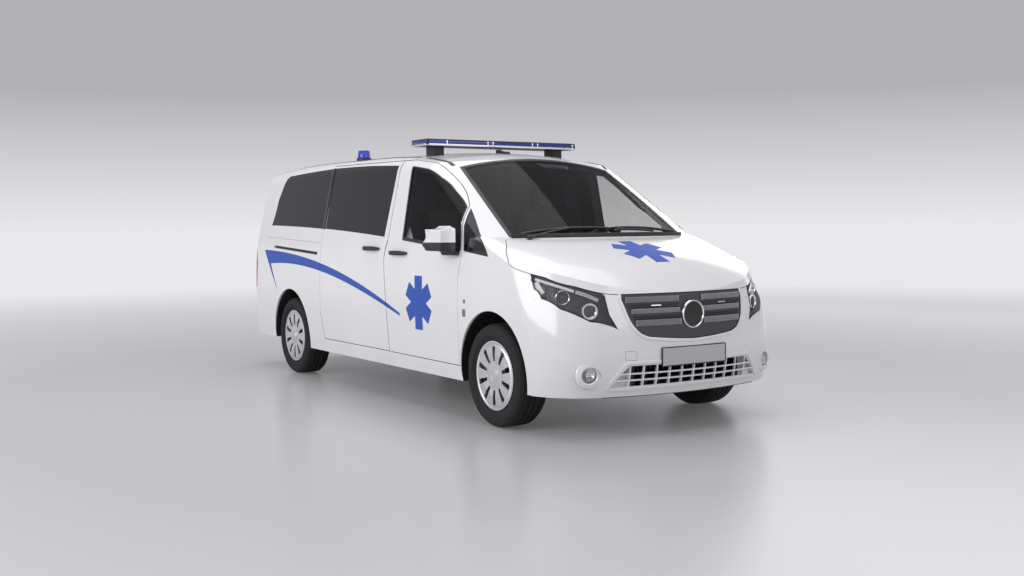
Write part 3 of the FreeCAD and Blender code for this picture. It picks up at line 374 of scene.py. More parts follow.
# %% Kinds of finish: moulded plastic, metal, glass, lens
def moulded(name, color, roughness, scale=900.0, depth=0.25, spread=0.25):
    """Grained plastic: the mottle moves colour and roughness a little, the grain is a bump."""
    made, w, shader = new_material(name, color, roughness)
    grain = w.group(GRAIN, Scale=scale)
    lighter = tuple(min(1.0, c * (1 + spread) + 0.004) for c in color)
    w.feed(shader, {"Base Color": w.mix(grain["Mottle"], color, lighter),
                    "Roughness": grain["Mottle"] * 0.12 + (roughness - 0.06),
                    "Normal": bump(w, grain["Height"], depth)})
    return made


def metal(name, color, roughness):
    """Metal or metallic lacquer with faint upright streaks in its roughness."""
    made, w, shader = new_material(name, color, roughness, Metallic=1.0)
    stretched = w.node("Mapping", {"Vector": w.place(), "Scale": (4.0, 4.0, 60.0)}, "Vector")
    w.feed(shader, {"Roughness": w.noise(stretched, 12.0, 4.0) * 0.16 + (roughness - 0.08)})
    return made


def glazing(name, color, alpha, roughness=0.02):
    """Tinted safety glass: thin panes let part of the light straight through, and reflect the rest.
    A fine film of dust lifts the alpha and the roughness a little here and there."""
    made, w, shader = new_material(name, color, roughness, IOR=1.5)
    dust = w.ramp(w.noise(w.place(), 3.0, 4.0), 0.35, 0.8)
    w.feed(shader, {"Alpha": dust * 0.03 + alpha, "Roughness": dust * 0.03 + roughness})
    return made


def lens(name, color, transmission, glow=0.0, roughness=0.05):
    """Clear or tinted polycarbonate."""
    made, w, shader = new_material(name, color, roughness, IOR=1.49, Coat_Weight=0.5,
                                   Transmission_Weight=transmission, Emission_Color=(*color, 1.0),
                                   Emission_Strength=glow)
    w.feed(shader, {"Roughness": w.noise(w.place(), 40.0, 3.0) * 0.05 + roughness})
    return made


# %% The finishes themselves
paint = white_enamel()
black_trim = moulded("black_trim", BLACK, 0.45)
grey_trim = moulded("grey_trim", (0.045, 0.045, 0.048), 0.6)
cab_grey = moulded("cab_grey", (0.030, 0.031, 0.034), 0.7, scale=500.0, depth=0.03)
gloss_black = moulded("gloss_black", (0.006, 0.006, 0.007), 0.12, depth=0.02)
tyre_rubber = moulded("tyre_rubber", (0.006, 0.006, 0.0065), 0.78, scale=300.0, depth=0.35, spread=0.8)
chassis_black = moulded("chassis_black", (0.010, 0.010, 0.011), 0.55, scale=120.0)
seat_cloth = moulded("seat_cloth", (0.020, 0.020, 0.023), 0.9, scale=700.0, depth=0.6)
silver = metal("silver_lacquer", (0.74, 0.75, 0.77), 0.36)
bright = metal("bright_metal", (0.85, 0.86, 0.88), 0.10)
cast = metal("cast_metal", (0.28, 0.28, 0.29), 0.45)
plate_silver = metal("plate_silver", (0.52, 0.52, 0.54), 0.32)
front_glass = glazing("front_glass", (0.010, 0.012, 0.013), 0.16)
dark_glass = glazing("dark_glass", (0.006, 0.006, 0.008), 0.93)
clear_lens = glazing("clear_lens", (0.30, 0.31, 0.33), 0.10)
red_lens = lens("red_lens", (0.55, 0.008, 0.01), 0.4)
blue_lens = lens("blue_lens", (0.01, 0.05, 0.60), 0.5, glow=0.15)
bar_lens = lens("bar_lens", (0.008, 0.035, 0.42), 0.5, glow=0.08)
pearl = moulded("pearl", (0.78, 0.80, 0.84), 0.18, depth=0.03, spread=0.06)
mesh_grey = moulded("mesh_grey", (0.42, 0.43, 0.44), 0.30, depth=0.1)
seam_grey = moulded("seam_grey", (0.16, 0.16, 0.165), 0.5, depth=0.1)

# %% Give every frame node its finish
PANELS_DARK_INSIDE = ("door_right", "door_left", "sliding_door", "tailgate", "roof_panel",
                "body_side_right", "body_side_left")
NODE_FINISH = {
    paint: [*PANELS_DARK_INSIDE, "bonnet", "front_fenders", "front_bumper", "rear_bumper"],
    black_trim: ["mirror_right", "mirror_left", "steering_wheel", "light_bar"],
    grey_trim: ["radiator_grille"],
    cab_grey: ["door_frames", "dashboard", "bulkhead"],
    chassis_black: ["underbody", "front_subframe", "rear_axle"],
    cast: ["knuckle_right", "knuckle_left", "engine_block"],
    seat_cloth: ["front_seats"],
    tyre_rubber: ["tyre_" + corner for corner in CORNERS],
    silver: ["wheel_" + corner for corner in CORNERS],
    plate_silver: ["front_plate", "rear_plate"],
    front_glass: ["windscreen", "door_window_right", "door_window_left"],
    dark_glass: ["side_windows", "tailgate_window"],
    clear_lens: ["front_lamps"],
    red_lens: ["tail_lamps"],
    blue_lens: ["beacon"],
}
for finish, names in NODE_FINISH.items():
    for name in names:
        nodes[name].data.materials.clear()
        nodes[name].data.materials.append(finish)
print("finished nodes", sum(len(names) for names in NODE_FINISH.values()), "of", len(nodes))


# %% Dark grey on the inner faces of the painted panels: partly interior trim, partly painted shade inside the body
def read(items, field, kind=float):
    """One field of every item, three numbers each, as rows."""
    values = np.zeros(3 * len(items), kind)
    items.foreach_get(field, values)
    return values.reshape(-1, 3)


CABIN_REAR, CABIN_FRONT, CABIN_MIDDLE = -2.2, 1.4, 1.0
for name in PANELS_DARK_INSIDE:
    # A face is inside where its normal points at the cabin's long axis: the axis point has the
    # face's own X, held between the cabin's two ends.
    mesh = nodes[name].data
    middle, normal = read(mesh.polygons, "center"), read(mesh.polygons, "normal")
    away = middle.copy()
    away[:, 0] -= np.clip(middle[:, 0], CABIN_REAR, CABIN_FRONT)
    away[:, 2] -= CABIN_MIDDLE
    away /= np.linalg.norm(away, axis=1)[:, None]
    # These inner faces take the cab's dark grey, partly as interior trim and partly as painted shade
    # inside the body.
    inner = np.einsum("ij,ij->i", normal, away) < -0.03
    mesh.materials.append(cab_grey)
    mesh.polygons.foreach_set("material_index", inner.astype(np.int32))

# %% [markdown]
# ## Tools for new pieces
# Every added piece is a surface worked out on a grid: a profile carried along a path, or a profile
# turned about an axis. Rays dropped onto the body give the points that a trim has to follow.


def placed(name, mesh, finish, body="body", smooth=35.0):
    """Object of a mesh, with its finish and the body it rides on."""
    mesh.shade_smooth()
    mesh.set_sharp_from_angle(angle=math.radians(smooth))
    mesh.materials.append(finish)
    made = linked(name, mesh)
    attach(made, body)
    print(f"{name}: {len(mesh.polygons)} faces of {finish.name} on {body}")
    return made


def as_object(name, points, faces, finish, body="body", slot=None, smooth=35.0, turn_out=True):
    """Object from points and faces; turn_out points the normals of a closed shape outward."""
    mesh = bpy.data.meshes.new(name)
    mesh.from_pydata(np.asarray(points, float).tolist(), [], [list(map(int, f)) for f in faces])
    mesh.validate()
    cleaned = bmesh.new()
    cleaned.from_mesh(mesh)
    bmesh.ops.remove_doubles(cleaned, verts=cleaned.verts, dist=1e-5)
    if turn_out:
        bmesh.ops.recalc_face_normals(cleaned, faces=cleaned.faces)
    cleaned.to_mesh(mesh)
    cleaned.free()
    return placed(name, mesh, finish, body, smooth)


# %% Grids and sheets
def grid_faces(rows, columns, wrap_rows=False, wrap_columns=False):
    """Quads between neighbouring grid points; a wrapped direction joins its last line to its first."""
    r = np.arange(rows if wrap_rows else rows - 1)[:, None]
    c = np.arange(columns if wrap_columns else columns - 1)[None, :]
    r2, c2 = (r + 1) % rows, (c + 1) % columns
    corners = np.stack(np.broadcast_arrays(r * columns + c, r * columns + c2,
                                           r2 * columns + c2, r2 * columns + c), -1)
    return corners.reshape(-1, 4)


def spread(*axes):
    """Points from numbers or arrays, one for each axis, stretched to a common size."""
    return np.stack(np.broadcast_arrays(*axes), -1).astype(float)


def sheet(name, grid, finish, body="body", slot=None, thickness=None):
    """Open sheet through a grid of points; a thickness makes it a pane."""
    made = as_object(name, grid.reshape(-1, 3), grid_faces(*grid.shape[:2]), finish, body, slot)
    if thickness:
        made.modifiers.new("pane", "SOLIDIFY").thickness = thickness
    return made


# %% Sweeps, turned shapes and boxes
def joined(parts):
    """Points and faces of several (points, faces) shapes as one."""
    points, faces, start = [], [], 0
    for some_points, some_faces in parts:
        points.append(np.asarray(some_points, float))
        faces += [[int(i) + start for i in f] for f in some_faces]
        start += len(points[-1])
    return np.concatenate(points), faces


def swept(path, normals, profile, closed=False):
    """Profile (across, out) carried along a path: point = path + across * side + out * normal,
    where side is normal x tangent. Open paths get a flat cap at each end."""
    path, normals, profile = (np.asarray(a, float) for a in (path, normals, profile))
    if closed:
        tangent = np.roll(path, -1, 0) - np.roll(path, 1, 0)
    else:
        tangent = np.gradient(path, axis=0)
    tangent /= np.linalg.norm(tangent, axis=1)[:, None]
    side = np.cross(normals, tangent)
    side /= np.linalg.norm(side, axis=1)[:, None]
    out = np.cross(tangent, side)
    grid = (path[:, None] + side[:, None] * profile[None, :, :1] + out[:, None] * profile[None, :, 1:])
    count, around = grid.shape[:2]
    faces = grid_faces(count, around, closed, True).tolist()
    if not closed:
        faces += [list(range(around))[::-1], [(count - 1) * around + i for i in range(around)]]
    return grid.reshape(-1, 3), faces


def turned(profile, centre, axis, turns=48):
    """Profile (radius, along) turned about an axis: point = centre + along * axis
    + radius * (cos t * u + sin t * v), with u and v square to the axis."""
    profile, axis = np.asarray(profile, float), np.asarray(axis, float)
    axis = axis / np.linalg.norm(axis)
    helper = np.array([0.0, 0.0, 1.0]) if abs(axis[2]) < 0.9 else np.array([1.0, 0.0, 0.0])
    u = np.cross(axis, helper)
    u /= np.linalg.norm(u)
    v = np.cross(axis, u)
    t = np.linspace(0, 2 * np.pi, turns, endpoint=False)
    ring = np.cos(t)[:, None] * u + np.sin(t)[:, None] * v
    grid = (np.asarray(centre, float) + profile[None, :, 1:] * axis
            + profile[None, :, :1] * ring[:, None])
    return grid.reshape(-1, 3), grid_faces(turns, len(profile), True, False).tolist()


def block(low, high):
    """Box from its low to its high corner."""
    (x0, y0, z0), (x1, y1, z1) = np.minimum(low, high), np.maximum(low, high)
    points = [(x, y, z) for z in (z0, z1) for x, y in ((x0, y0), (x1, y0), (x1, y1), (x0, y1))]
    walls = [[i, (i + 1) % 4, (i + 1) % 4 + 4, i + 4] for i in range(4)]
    return points, walls + [[3, 2, 1, 0], [4, 5, 6, 7]]


# %% Lines and sections
def smooth_line(knots, count):
    """Evenly spaced points on a Catmull-Rom curve through the knots."""
    knots = np.asarray(knots, float)
    padded = np.concatenate([2 * knots[:1] - knots[1:2], knots, 2 * knots[-1:] - knots[-2:-1]])
    spans = len(padded) - 3
    t = np.linspace(0, spans, 24 * spans + 1)
    i = np.minimum(t.astype(int), spans - 1)
    f = (t - i)[:, None]
    p0, p1, p2, p3 = (padded[i + k] for k in range(4))
    line = 0.5 * (2 * p1 + (p2 - p0) * f + (2 * p0 - 5 * p1 + 4 * p2 - p3) * f ** 2
                  + (3 * p1 - p0 - 3 * p2 + p3) * f ** 3)
    steps = np.r_[0.0, np.cumsum(np.linalg.norm(np.diff(line, axis=0), axis=1))]
    wanted = np.linspace(0, steps[-1], count)
    return np.stack([np.interp(wanted, steps, line[:, k]) for k in range(line.shape[1])], 1)


def straight_line(knots, spacing):
    """Points along a polyline, about `spacing` apart, that keep every corner."""
    knots = np.asarray(knots, float)
    runs = [np.linspace(a, b, max(2, int(np.ceil(np.linalg.norm(b - a) / spacing)) + 1))[:-1]
            for a, b in zip(knots[:-1], knots[1:])]
    return np.concatenate(runs + [knots[-1:]])


def rounded(width, height, radius, steps=3):
    """Closed rounded rectangle (across, out), centred across and standing on out = 0."""
    a = np.linspace(0, np.pi / 2, steps)
    arc = np.stack([np.cos(a), np.sin(a)], 1) * radius
    w, h = width / 2 - radius, height - radius
    left = np.stack([-arc[::-1, 0], arc[::-1, 1]], 1) + (-w, h)
    return np.concatenate([[[width / 2, 0.0]], arc + (w, h), left, [[-width / 2, 0.0]]])


def bead(name, points, normals, width, height, finish, body="body", closed=False, sink=0.0015):
    """Low rounded strip that lies on the skin along a line of points."""
    strip = rounded(width, height + sink, min(width, height + sink) * 0.45) - (0.0, sink)
    return as_object(name, *swept(points, normals, strip, closed), finish, body)


# %% [markdown]
# ## Lines laid on the body
# Trim follows curved panels, so its path is first drawn flat, as seen from one side, and then
# dropped onto the skin by rays. The ray target is one tree of all the outer nodes.

# %% Points on the body's skin
SKIN_NODES = ["door_right", "door_left", "sliding_door", "tailgate", "bonnet", "front_lamps",
              "front_fenders", "front_bumper", "radiator_grille", "tail_lamps", "rear_bumper",
              "roof_panel", "body_side_right", "body_side_left", "windscreen", "side_windows",
              "door_window_right", "door_window_left", "tailgate_window"]


def skin_tree(names):
    """Ray target made of these nodes."""
    points, faces = [], []
    for name in names:
        mesh = nodes[name].data
        faces += (read(mesh.polygons, "vertices", int) + len(points)).tolist()
        points += read(mesh.vertices, "co").tolist()
    return BVHTree.FromPolygons(points, faces)


SKIN = skin_tree(SKIN_NODES)


# %% Rays dropped on the skin
def dropped(starts, direction, lift=0.0, tree=SKIN):
    """Where rays from the start points meet the body, raised by `lift`, and the skin normals there.
    A ray that slips through a panel gap takes the hit and normal of the ray before it."""
    direction = Vector(direction).normalized()
    points, normals = [], []
    for start in np.asarray(starts, float):
        hit, normal, _, _ = tree.ray_cast(Vector(start), direction)
        if hit is None:
            points.append(points[-1] if points else np.array(start))
            normals.append(normals[-1] if normals else -np.array(direction))
            continue
        points.append(np.array(hit))
        normals.append(np.array(-normal if normal.dot(direction) > 0 else normal))
    return np.array(points) + lift * np.array(normals), np.array(normals)


# %% The same from the flank, from above, from ahead and from behind
def on_flank(rows, side):
    """Points (station, height) laid on one flank."""
    station, height = np.asarray(rows, float).T
    return dropped(spread(ahead(station), side * 1.6, height), (0, -side, 0))


def on_top(rows, lift=0.0):
    """Points (station, y) laid on the body from above."""
    station, y = np.asarray(rows, float).T
    return dropped(spread(ahead(station), y, 2.6), (0, 0, -1), lift)


def on_front(rows, lift=0.0):
    """Points (y, height) laid on the nose from ahead."""
    y, height = np.asarray(rows, float).T
    return dropped(spread(4.0, y, height), (-1, 0, 0), lift)


def on_back(rows, lift=0.0):
    """Points (y, height) laid on the tail from behind."""
    y, height = np.asarray(rows, float).T
    return dropped(spread(-4.0, y, height), (1, 0, 0), lift)


# %% Outlines seen from a direction
SCREEN_SLOPE, LAMP_TURN = math.radians(32.6), math.radians(46.0)
WINDSCREEN_VIEW = (math.sin(SCREEN_SLOPE), 0.0, math.cos(SCREEN_SLOPE))
PILLAR_VIEW = (0.37, -0.79, 0.48)
LAMP_VIEW = (math.cos(LAMP_TURN), -math.sin(LAMP_TURN), 0.0)
FLANK_VIEW = (0.0, -1.0, 0.0)
AHEAD_VIEW = (1.0, 0.0, 0.0)


def arc_points(start, end, bulge, spacing):
    """Points from start up to end on a circular arc whose middle stands `bulge` off the chord,
    or on the chord itself where bulge is 0."""
    start, end = np.asarray(start, float), np.asarray(end, float)
    chord = end - start
    run = np.linalg.norm(chord)
    t = np.linspace(0, 1, max(2, int(run / spacing) + 1))[:-1, None]
    straight = start + chord * t
    if bulge == 0:
        return straight
    off = np.array([chord[1], -chord[0]]) / run
    radius = run * run / (8 * abs(bulge)) + abs(bulge) / 2
    along = (t - 0.5) * run
    rise = np.sqrt(radius * radius - along * along) - (radius - abs(bulge))
    return straight + math.copysign(1.0, bulge) * rise * off


def on_side(starts, direction, side):
    """Ray starts and direction of the right side, mirrored where the left side is asked for."""
    turn = (1, -1, 1) if side == LEFT else (1, 1, 1)
    return starts * turn, direction * turn


# %% Outline laid on the skin as seen along a view
def seen_along(rows, view, side=RIGHT, grow=0.0, spacing=0.03, closed=True):
    """Outline of millimetre rows (station, y, height, bulge), seen along a direction and laid on the
    skin; on the left side it is the mirror image of the right one."""
    view = Vector(view).normalized()
    across = Vector((0, 0, 1)).cross(view).normalized()
    basis = np.array([across, view.cross(across), view])
    places = np.array([(1000 * NOSE_X - s, y, z) for s, y, z, _ in rows]) / 1000
    flat = places @ basis.T
    count = len(rows) if closed else len(rows) - 1
    runs = [arc_points(flat[i, :2], flat[(i + 1) % len(rows), :2], rows[i][3] / 1000, spacing)
            for i in range(count)]
    line = np.concatenate(runs if closed else runs + [flat[-1:, :2]])
    if grow:
        edge = np.roll(line, -1, 0) - np.roll(line, 1, 0)
        outward = np.stack([edge[:, 1], -edge[:, 0]], 1)
        outward /= np.linalg.norm(outward, axis=1)[:, None] + 1e-9
        if np.einsum("ij,ij->i", outward, line - line.mean(0)).sum() < 0:
            outward = -outward
        line = line + grow * outward
    starts = np.c_[line, np.full(len(line), flat[:, 2].max() + 0.30)] @ basis
    return dropped(*on_side(starts, -np.array(view), side))


# %% [markdown]
# ## Seals and shut lines
# Rubber seals are low strips that follow the edge of the glass. Each one is a rounded profile carried
# along the outline of its pane, which is laid on the body by rays, so that it curves with the skin.

# %% Windscreen seal, cowl strip and wipers
SCREEN = [(992, -745, 1240, 112), (992, 745, 1240, 6), (1780, 660, 1752, 42), (1780, -660, 1752, 6)]
COWL = [(970, -735, 1250, 112), (970, 735, 1250, 0)]
bead("windscreen_seal", *seen_along(SCREEN, WINDSCREEN_VIEW, grow=-0.014), 0.036, 0.0022, black_trim,
     closed=True)
bead("windscreen_cowl", *seen_along(COWL, WINDSCREEN_VIEW, closed=False), 0.052, 0.006, black_trim)


def wiper(name, pivot, knee, tip_a, tip_b):
    """Arm from its pivot to the knee, and a blade that lies between two tips; points are
    (station, y), laid on the glass from above."""
    cap, cap_out = on_top([pivot])
    shapes = [swept(*on_top(straight_line([pivot, knee], 0.03), 0.012), rounded(0.016, 0.010, 0.004)),
              swept(*on_top(straight_line([tip_a, tip_b], 0.03), 0.003), rounded(0.020, 0.014, 0.006)),
              turned([(0.0, 0.028), (0.011, 0.026), (0.016, 0.018), (0.018, 0.0)], cap[0],
                     cap_out[0], 20)]
    as_object(name, *joined(shapes), black_trim)


wiper("wiper_right", (0.925, -0.63), (0.945, -0.28), (0.985, -0.66), (0.925, 0.00))
wiper("wiper_left", (0.905, 0.10), (0.925, 0.42), (0.925, 0.05), (0.990, 0.66))

# %% Side glass seals
DOOR_GLASS = [(1286, -950, 1156, 0), (1388, -829, 1440, 6), (1560, -828, 1562, 9),
              (1757, -837, 1668, 9), (1981, -836, 1732, 0), (2165, -832, 1755, 0),
              (2150, -938, 1226, 0)]
DOOR_WAIST = [DOOR_GLASS[-1], DOOR_GLASS[0]]
TRIANGLE = [(918, -954, 1114, 10), (1078, -912, 1232, 4), (1352, -829, 1444, 0),
            (1244, -952, 1156, 0), (1232, -952, 1146, 0)]
QUARTER = [(3650, 0, 1299, 0), (3630, 0, 1806, 3), (4560, 0, 1779, 14), (4680, 0, 1700, 0),
           (4763, 0, 1568, -10), (4844, 0, 1332, -4)]
SLIDING = [(2460, 0, 1237, 0), (2395, 0, 1776, 8), (3576, 0, 1806, 0), (3594, 0, 1299, -4)]
MIDDLE = [(2470, 0, 1237, 0), (2405, 0, 1776, 8), (3594, 0, 1806, 0), (3610, 0, 1299, -4)]
for side, hand in SIDES:
    door = "cab_door_" + hand
    centre = ("middle_seal_", MIDDLE) if side == LEFT else ("sliding_seal_", SLIDING)
    # Name, body, outline, view, growth, closed, width and height of each seal.
    for name, body, rows, view, grow, closed, width, height in (
            ("door_glass_seal_", door, DOOR_GLASS, PILLAR_VIEW, 0.001, True, 0.012, 0.0016),
            ("door_waist_seal_", door, DOOR_WAIST, PILLAR_VIEW, 0.0, False, 0.026, 0.004),
            ("door_rear_seal_", door, DOOR_GLASS[-2:], PILLAR_VIEW, 0.0, False, 0.020, 0.002),
            ("door_divider_", door, DOOR_GLASS[:2], PILLAR_VIEW, 0.0, False, 0.022, 0.003),
            ("triangle_seal_", "body", TRIANGLE, PILLAR_VIEW, -0.003, True, 0.016, 0.0018),
            ("quarter_seal_", "body", QUARTER, FLANK_VIEW, -0.003, True, 0.012, 0.0016),
            (centre[0], "body", centre[1], FLANK_VIEW, -0.003, True, 0.012, 0.0016)):
        laid = seen_along(rows, view, side, grow, closed=closed)
        bead(name + hand, *laid, width, height, black_trim, body, closed)

# %% Roof ditch strips
DITCH = np.array([(1.815, 0.690), (1.90, 0.700), (2.10, 0.712), (3.0, 0.714), (4.2, 0.712),
                  (5.03, 0.700)])
for side, hand in SIDES:
    bead("roof_strip_" + hand, *on_top(smooth_line(DITCH * (1, side), 90)), 0.030, 0.003, black_trim)

# %% [markdown]
# ## Door pulls and rail
# A van's door pull is a smooth bar held at both ends. Its section stays the same and its distance
# from the skin swells from nothing to a hand's depth, so a height along the path does it.


# %% Pulls
def pull(name, start, end, height, side, body="body"):
    """Bar along a flank: its middle stands 1 - (2t - 1)^6 of the full reach off the skin."""
    t = np.linspace(0, 1, 40)
    line, out = on_flank(spread(start + (end - start) * t, height), side)
    reach = 0.030 * (1 - (2 * t - 1) ** 6)
    points, faces = swept(line + out * (reach - 0.004)[:, None], out, rounded(0.034, 0.016, 0.007, 4))
    grid = points.reshape(40, -1, 3)
    middle = grid.mean(1, keepdims=True)
    taper = (0.45 + 0.55 * (1 - np.abs(2 * t - 1) ** 5))[:, None, None]
    as_object(name, (middle + (grid - middle) * taper).reshape(-1, 3), faces, black_trim, body)


for side, hand in SIDES:
    pull("pull_cab_" + hand, 2.062, 2.316, 1.118, side, "cab_door_" + hand)
pull("pull_sliding", 2.518, 2.775, 1.146, RIGHT)

# %% Rail that the sliding door runs on
line, out = on_flank(straight_line([(3.712, 1.091), (4.710, 1.1385)], 0.05), RIGHT)
as_object("sliding_slot", *swept(line - out * 0.002, out, rounded(0.026, 0.004, 0.001)), black_trim)
rail = rounded(0.009, 0.004, 0.0015) + (0.004, 0.0)
as_object("sliding_rail", *swept(line + out * 0.001, out, rail), grey_trim, slot="cast_iron")

# %% Dark strip that joins the two panes of each flank
for hand, side, top, foot, width in (("right", RIGHT, (3.602, 1.809), (3.624, 1.296), 0.057),
                                     ("left", LEFT, (3.612, 1.808), (3.630, 1.298), 0.044)):
    line, out = on_flank(straight_line([top, foot], 0.03), side)
    bead("pane_joint_" + hand, line, out, width, 0.0012, gloss_black)

# %% [markdown]
# ## Headlamps and fog lamps
# A lamp is a thin clear cover over a dark bowl that holds reflectors. The frame has each lamp as one
# solid, so its outward faces become the cover, its other faces become the bowl, and the parts
# inside are turned profiles set a little behind the cover.

# %% Split each lamp solid into cover and bowl
FOG_Y, FOG_REACH, FOG_TOP = 0.731, 0.085, 0.56
lamp_mesh = nodes["front_lamps"].data
lamp_points, lamp_faces = read(lamp_mesh.vertices, "co"), read(lamp_mesh.polygons, "vertices", int)
corner = lamp_points[lamp_faces]
facing = np.cross(corner[:, 1] - corner[:, 0], corner[:, 2] - corner[:, 0])
facing /= np.linalg.norm(facing, axis=1)[:, None] + 1e-12
middle = corner.mean(1)
hand_sign = np.sign(middle[:, 1])
fog = (np.abs(middle[:, 1] - hand_sign * FOG_Y) < FOG_REACH) & (middle[:, 2] < FOG_TOP)
view_x = np.where(fog, 1.0, LAMP_VIEW[0])
view_y = np.where(fog, 0.0, hand_sign * -LAMP_VIEW[1])
outward = facing[:, 0] * view_x + facing[:, 1] * view_y > 0.30
for hand, on_this_side in (("right", middle[:, 1] < 0), ("left", middle[:, 1] >= 0)):
    for kind, of_kind, bowl_finish in (("headlamp", ~fog, black_trim), ("fog_lamp", fog, silver)):
        for part, chosen, finish, slot, smooth in (
                ("cover", outward, clear_lens, "lamp_lens", 60.0),
                ("bowl", ~outward, bowl_finish, "dark_plastic", 35.0)):
            used, index = np.unique(lamp_faces[of_kind & on_this_side & chosen], return_inverse=True)
            made = as_object(f"{kind}_{part}_{hand}", lamp_points[used], index.reshape(-1, 3), finish,
                             slot=slot, smooth=smooth, turn_out=False)
            if part == "cover":
                wall = made.modifiers.new("wall", "SOLIDIFY")
                wall.thickness, wall.offset = 0.0025, -1.0
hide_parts("front_lamps")
LAMP_SKIN = skin_tree(["front_lamps"])

# %% Black edge of each headlamp
LAMP_EDGE = [(154, -593, 884, 0), (115, -585, 767, 0), (82, -544, 679, 10), (149, -707, 729, 6),
             (283, -834, 806, 8), (399, -893, 865, 10), (460, -905, 923, 0), (491, -906, 985, 0)]
for side, hand in SIDES:
    laid = seen_along(LAMP_EDGE, LAMP_VIEW, side, grow=-0.003, spacing=0.02, closed=False)
    bead("headlamp_edge_" + hand, *laid, 0.009, 0.0016, gloss_black)


# %% Parts behind the covers
def behind_cover(rows, side, depth, view=LAMP_VIEW, spacing=0.02):
    """Smooth line through rows (station, |y|, height), seen into the lamp and set back by depth."""
    station, half_width, height = np.asarray(rows, float).T
    line = spread(ahead(station), -half_width, height)
    if len(line) > 1:
        line = smooth_line(line, max(2, int(np.linalg.norm(line[-1] - line[0]) / spacing)))
    return dropped(*on_side(line + np.array(view) * 0.3, -np.array(view), side), -depth, LAMP_SKIN)


# %% Sizes and profiles of those parts
REFLECTOR, PROJECTOR, FOG = (0.296, 0.810, 0.880), (0.165, 0.692, 0.797), (0.150, 0.730, 0.404)
LOOK, FOG_LOOK, RIM_LOOK = (0.93, 0.36, 0.05), (1.0, 0.12, 0.0), (0.95, 0.31, 0.0)
CUP = [(0.0, -0.030), (0.012, -0.029), (0.024, -0.022), (0.034, -0.010), (0.040, 0.0), (0.043, 0.002),
       (0.045, 0.0), (0.045, -0.012)]
BULB = [(0.0, 0.004), (0.006, 0.003), (0.010, -0.004), (0.011, -0.026)]
RING = [(0.034, -0.02), (0.034, -0.002), (0.040, 0.004), (0.050, 0.004), (0.054, -0.004), (0.054, -0.02)]
BALL = [(0.0, 0.012), (0.012, 0.0105), (0.024, 0.005), (0.031, -0.004), (0.032, -0.014)]
SHADE = [(0.0, -0.022), (0.034, -0.021), (0.034, -0.014)]
RIM = [(0.047, -0.012), (0.048, 0.002), (0.053, 0.007), (0.062, 0.006), (0.080, -0.002), (0.086, -0.012)]
# Name, place, depth behind the cover, axis, profile, turns, finish.
HEADLAMP_PARTS = (("headlamp_cup_", REFLECTOR, 0.022, LOOK, CUP, 40, bright),
                  ("headlamp_bulb_", REFLECTOR, 0.022, LOOK, BULB, 20, gloss_black),
                  ("projector_ring_", PROJECTOR, 0.026, LOOK, RING, 44, bright),
                  ("projector_ball_", PROJECTOR, 0.026, LOOK, BALL, 44, clear_lens),
                  ("projector_back_", PROJECTOR, 0.026, LOOK, SHADE, 32, gloss_black))
FOG_PARTS = (("fog_cup_", FOG, 0.020, FOG_LOOK, CUP, 40, bright),
             ("fog_rim_", FOG, 0.0, RIM_LOOK, RIM, 48, paint))
# Name, line, depth, width, height and corner radius of the section, finish.
LINE_PARTS = (
    ("light_guide_", [(0.474, 0.889, 0.985), (0.360, 0.822, 0.950), (0.258, 0.749, 0.914)],
     0.012, (0.017, 0.008, 0.003), pearl),
    ("light_guide_inner_", [(0.250, 0.742, 0.911), (0.200, 0.690, 0.888), (0.158, 0.636, 0.858)],
     0.014, (0.024, 0.006, 0.003), bright),
    ("turn_reflector_", [(0.478, 0.892, 0.962), (0.452, 0.884, 0.925), (0.420, 0.878, 0.892)],
     0.016, (0.052, 0.006, 0.003), pearl),
    ("lamp_rib_", [(0.360, 0.846, 0.925), (0.335, 0.840, 0.880), (0.312, 0.845, 0.836)],
     0.020, (0.010, 0.010, 0.004), grey_trim))


# %% Place the parts behind the covers
def turned_parts(parts, side, hand, view):
    """Turned profiles of a table, set behind the cover on one side."""
    for name, place, depth, axis, profile, turns, finish in parts:
        spot, _ = behind_cover([place], side, depth, view)
        as_object(name + hand, *turned(profile, spot[0], np.array(axis) * (1, side, 1), turns), finish,
                  slot="white_paint" if finish == paint else "lamp_lens")


for side, hand in SIDES:
    turned_parts(HEADLAMP_PARTS, side, hand, LAMP_VIEW)
    for name, rows, depth, section, finish in LINE_PARTS:
        as_object(name + hand, *swept(*behind_cover(rows, side, depth), rounded(*section)), finish,
                  slot="dark_plastic" if finish == grey_trim else "lamp_lens")
    turned_parts(FOG_PARTS, side, hand, AHEAD_VIEW)

# %% [markdown]
# ## Grille, plates and front apron
# The grille's openings carry a lattice of thin crossing rods, each a zigzag swept with a four-point
# section. Louvres, rims and frames are longer sweeps whose paths are laid on the nose.


# %% Dark sheets behind the grille and the intake, as painted shade
def set_back(half_width, count, height, depth, z_low, z_high):
    """Upright sheet that follows the nose's curve at one height, `depth` behind it."""
    y, z = np.linspace(-half_width, half_width, count), np.linspace(z_low, z_high, 5)
    front, _ = on_front(spread(y, height))
    return spread((front[:, 0] - depth)[:, None], y[:, None], z)


# A gloss black sheet behind the grille's openings is painted shade: it stands for the dark engine bay.
sheet("grille_shade_sheet", set_back(0.455, 37, 0.835, 0.040, 0.700, 0.870), gloss_black)

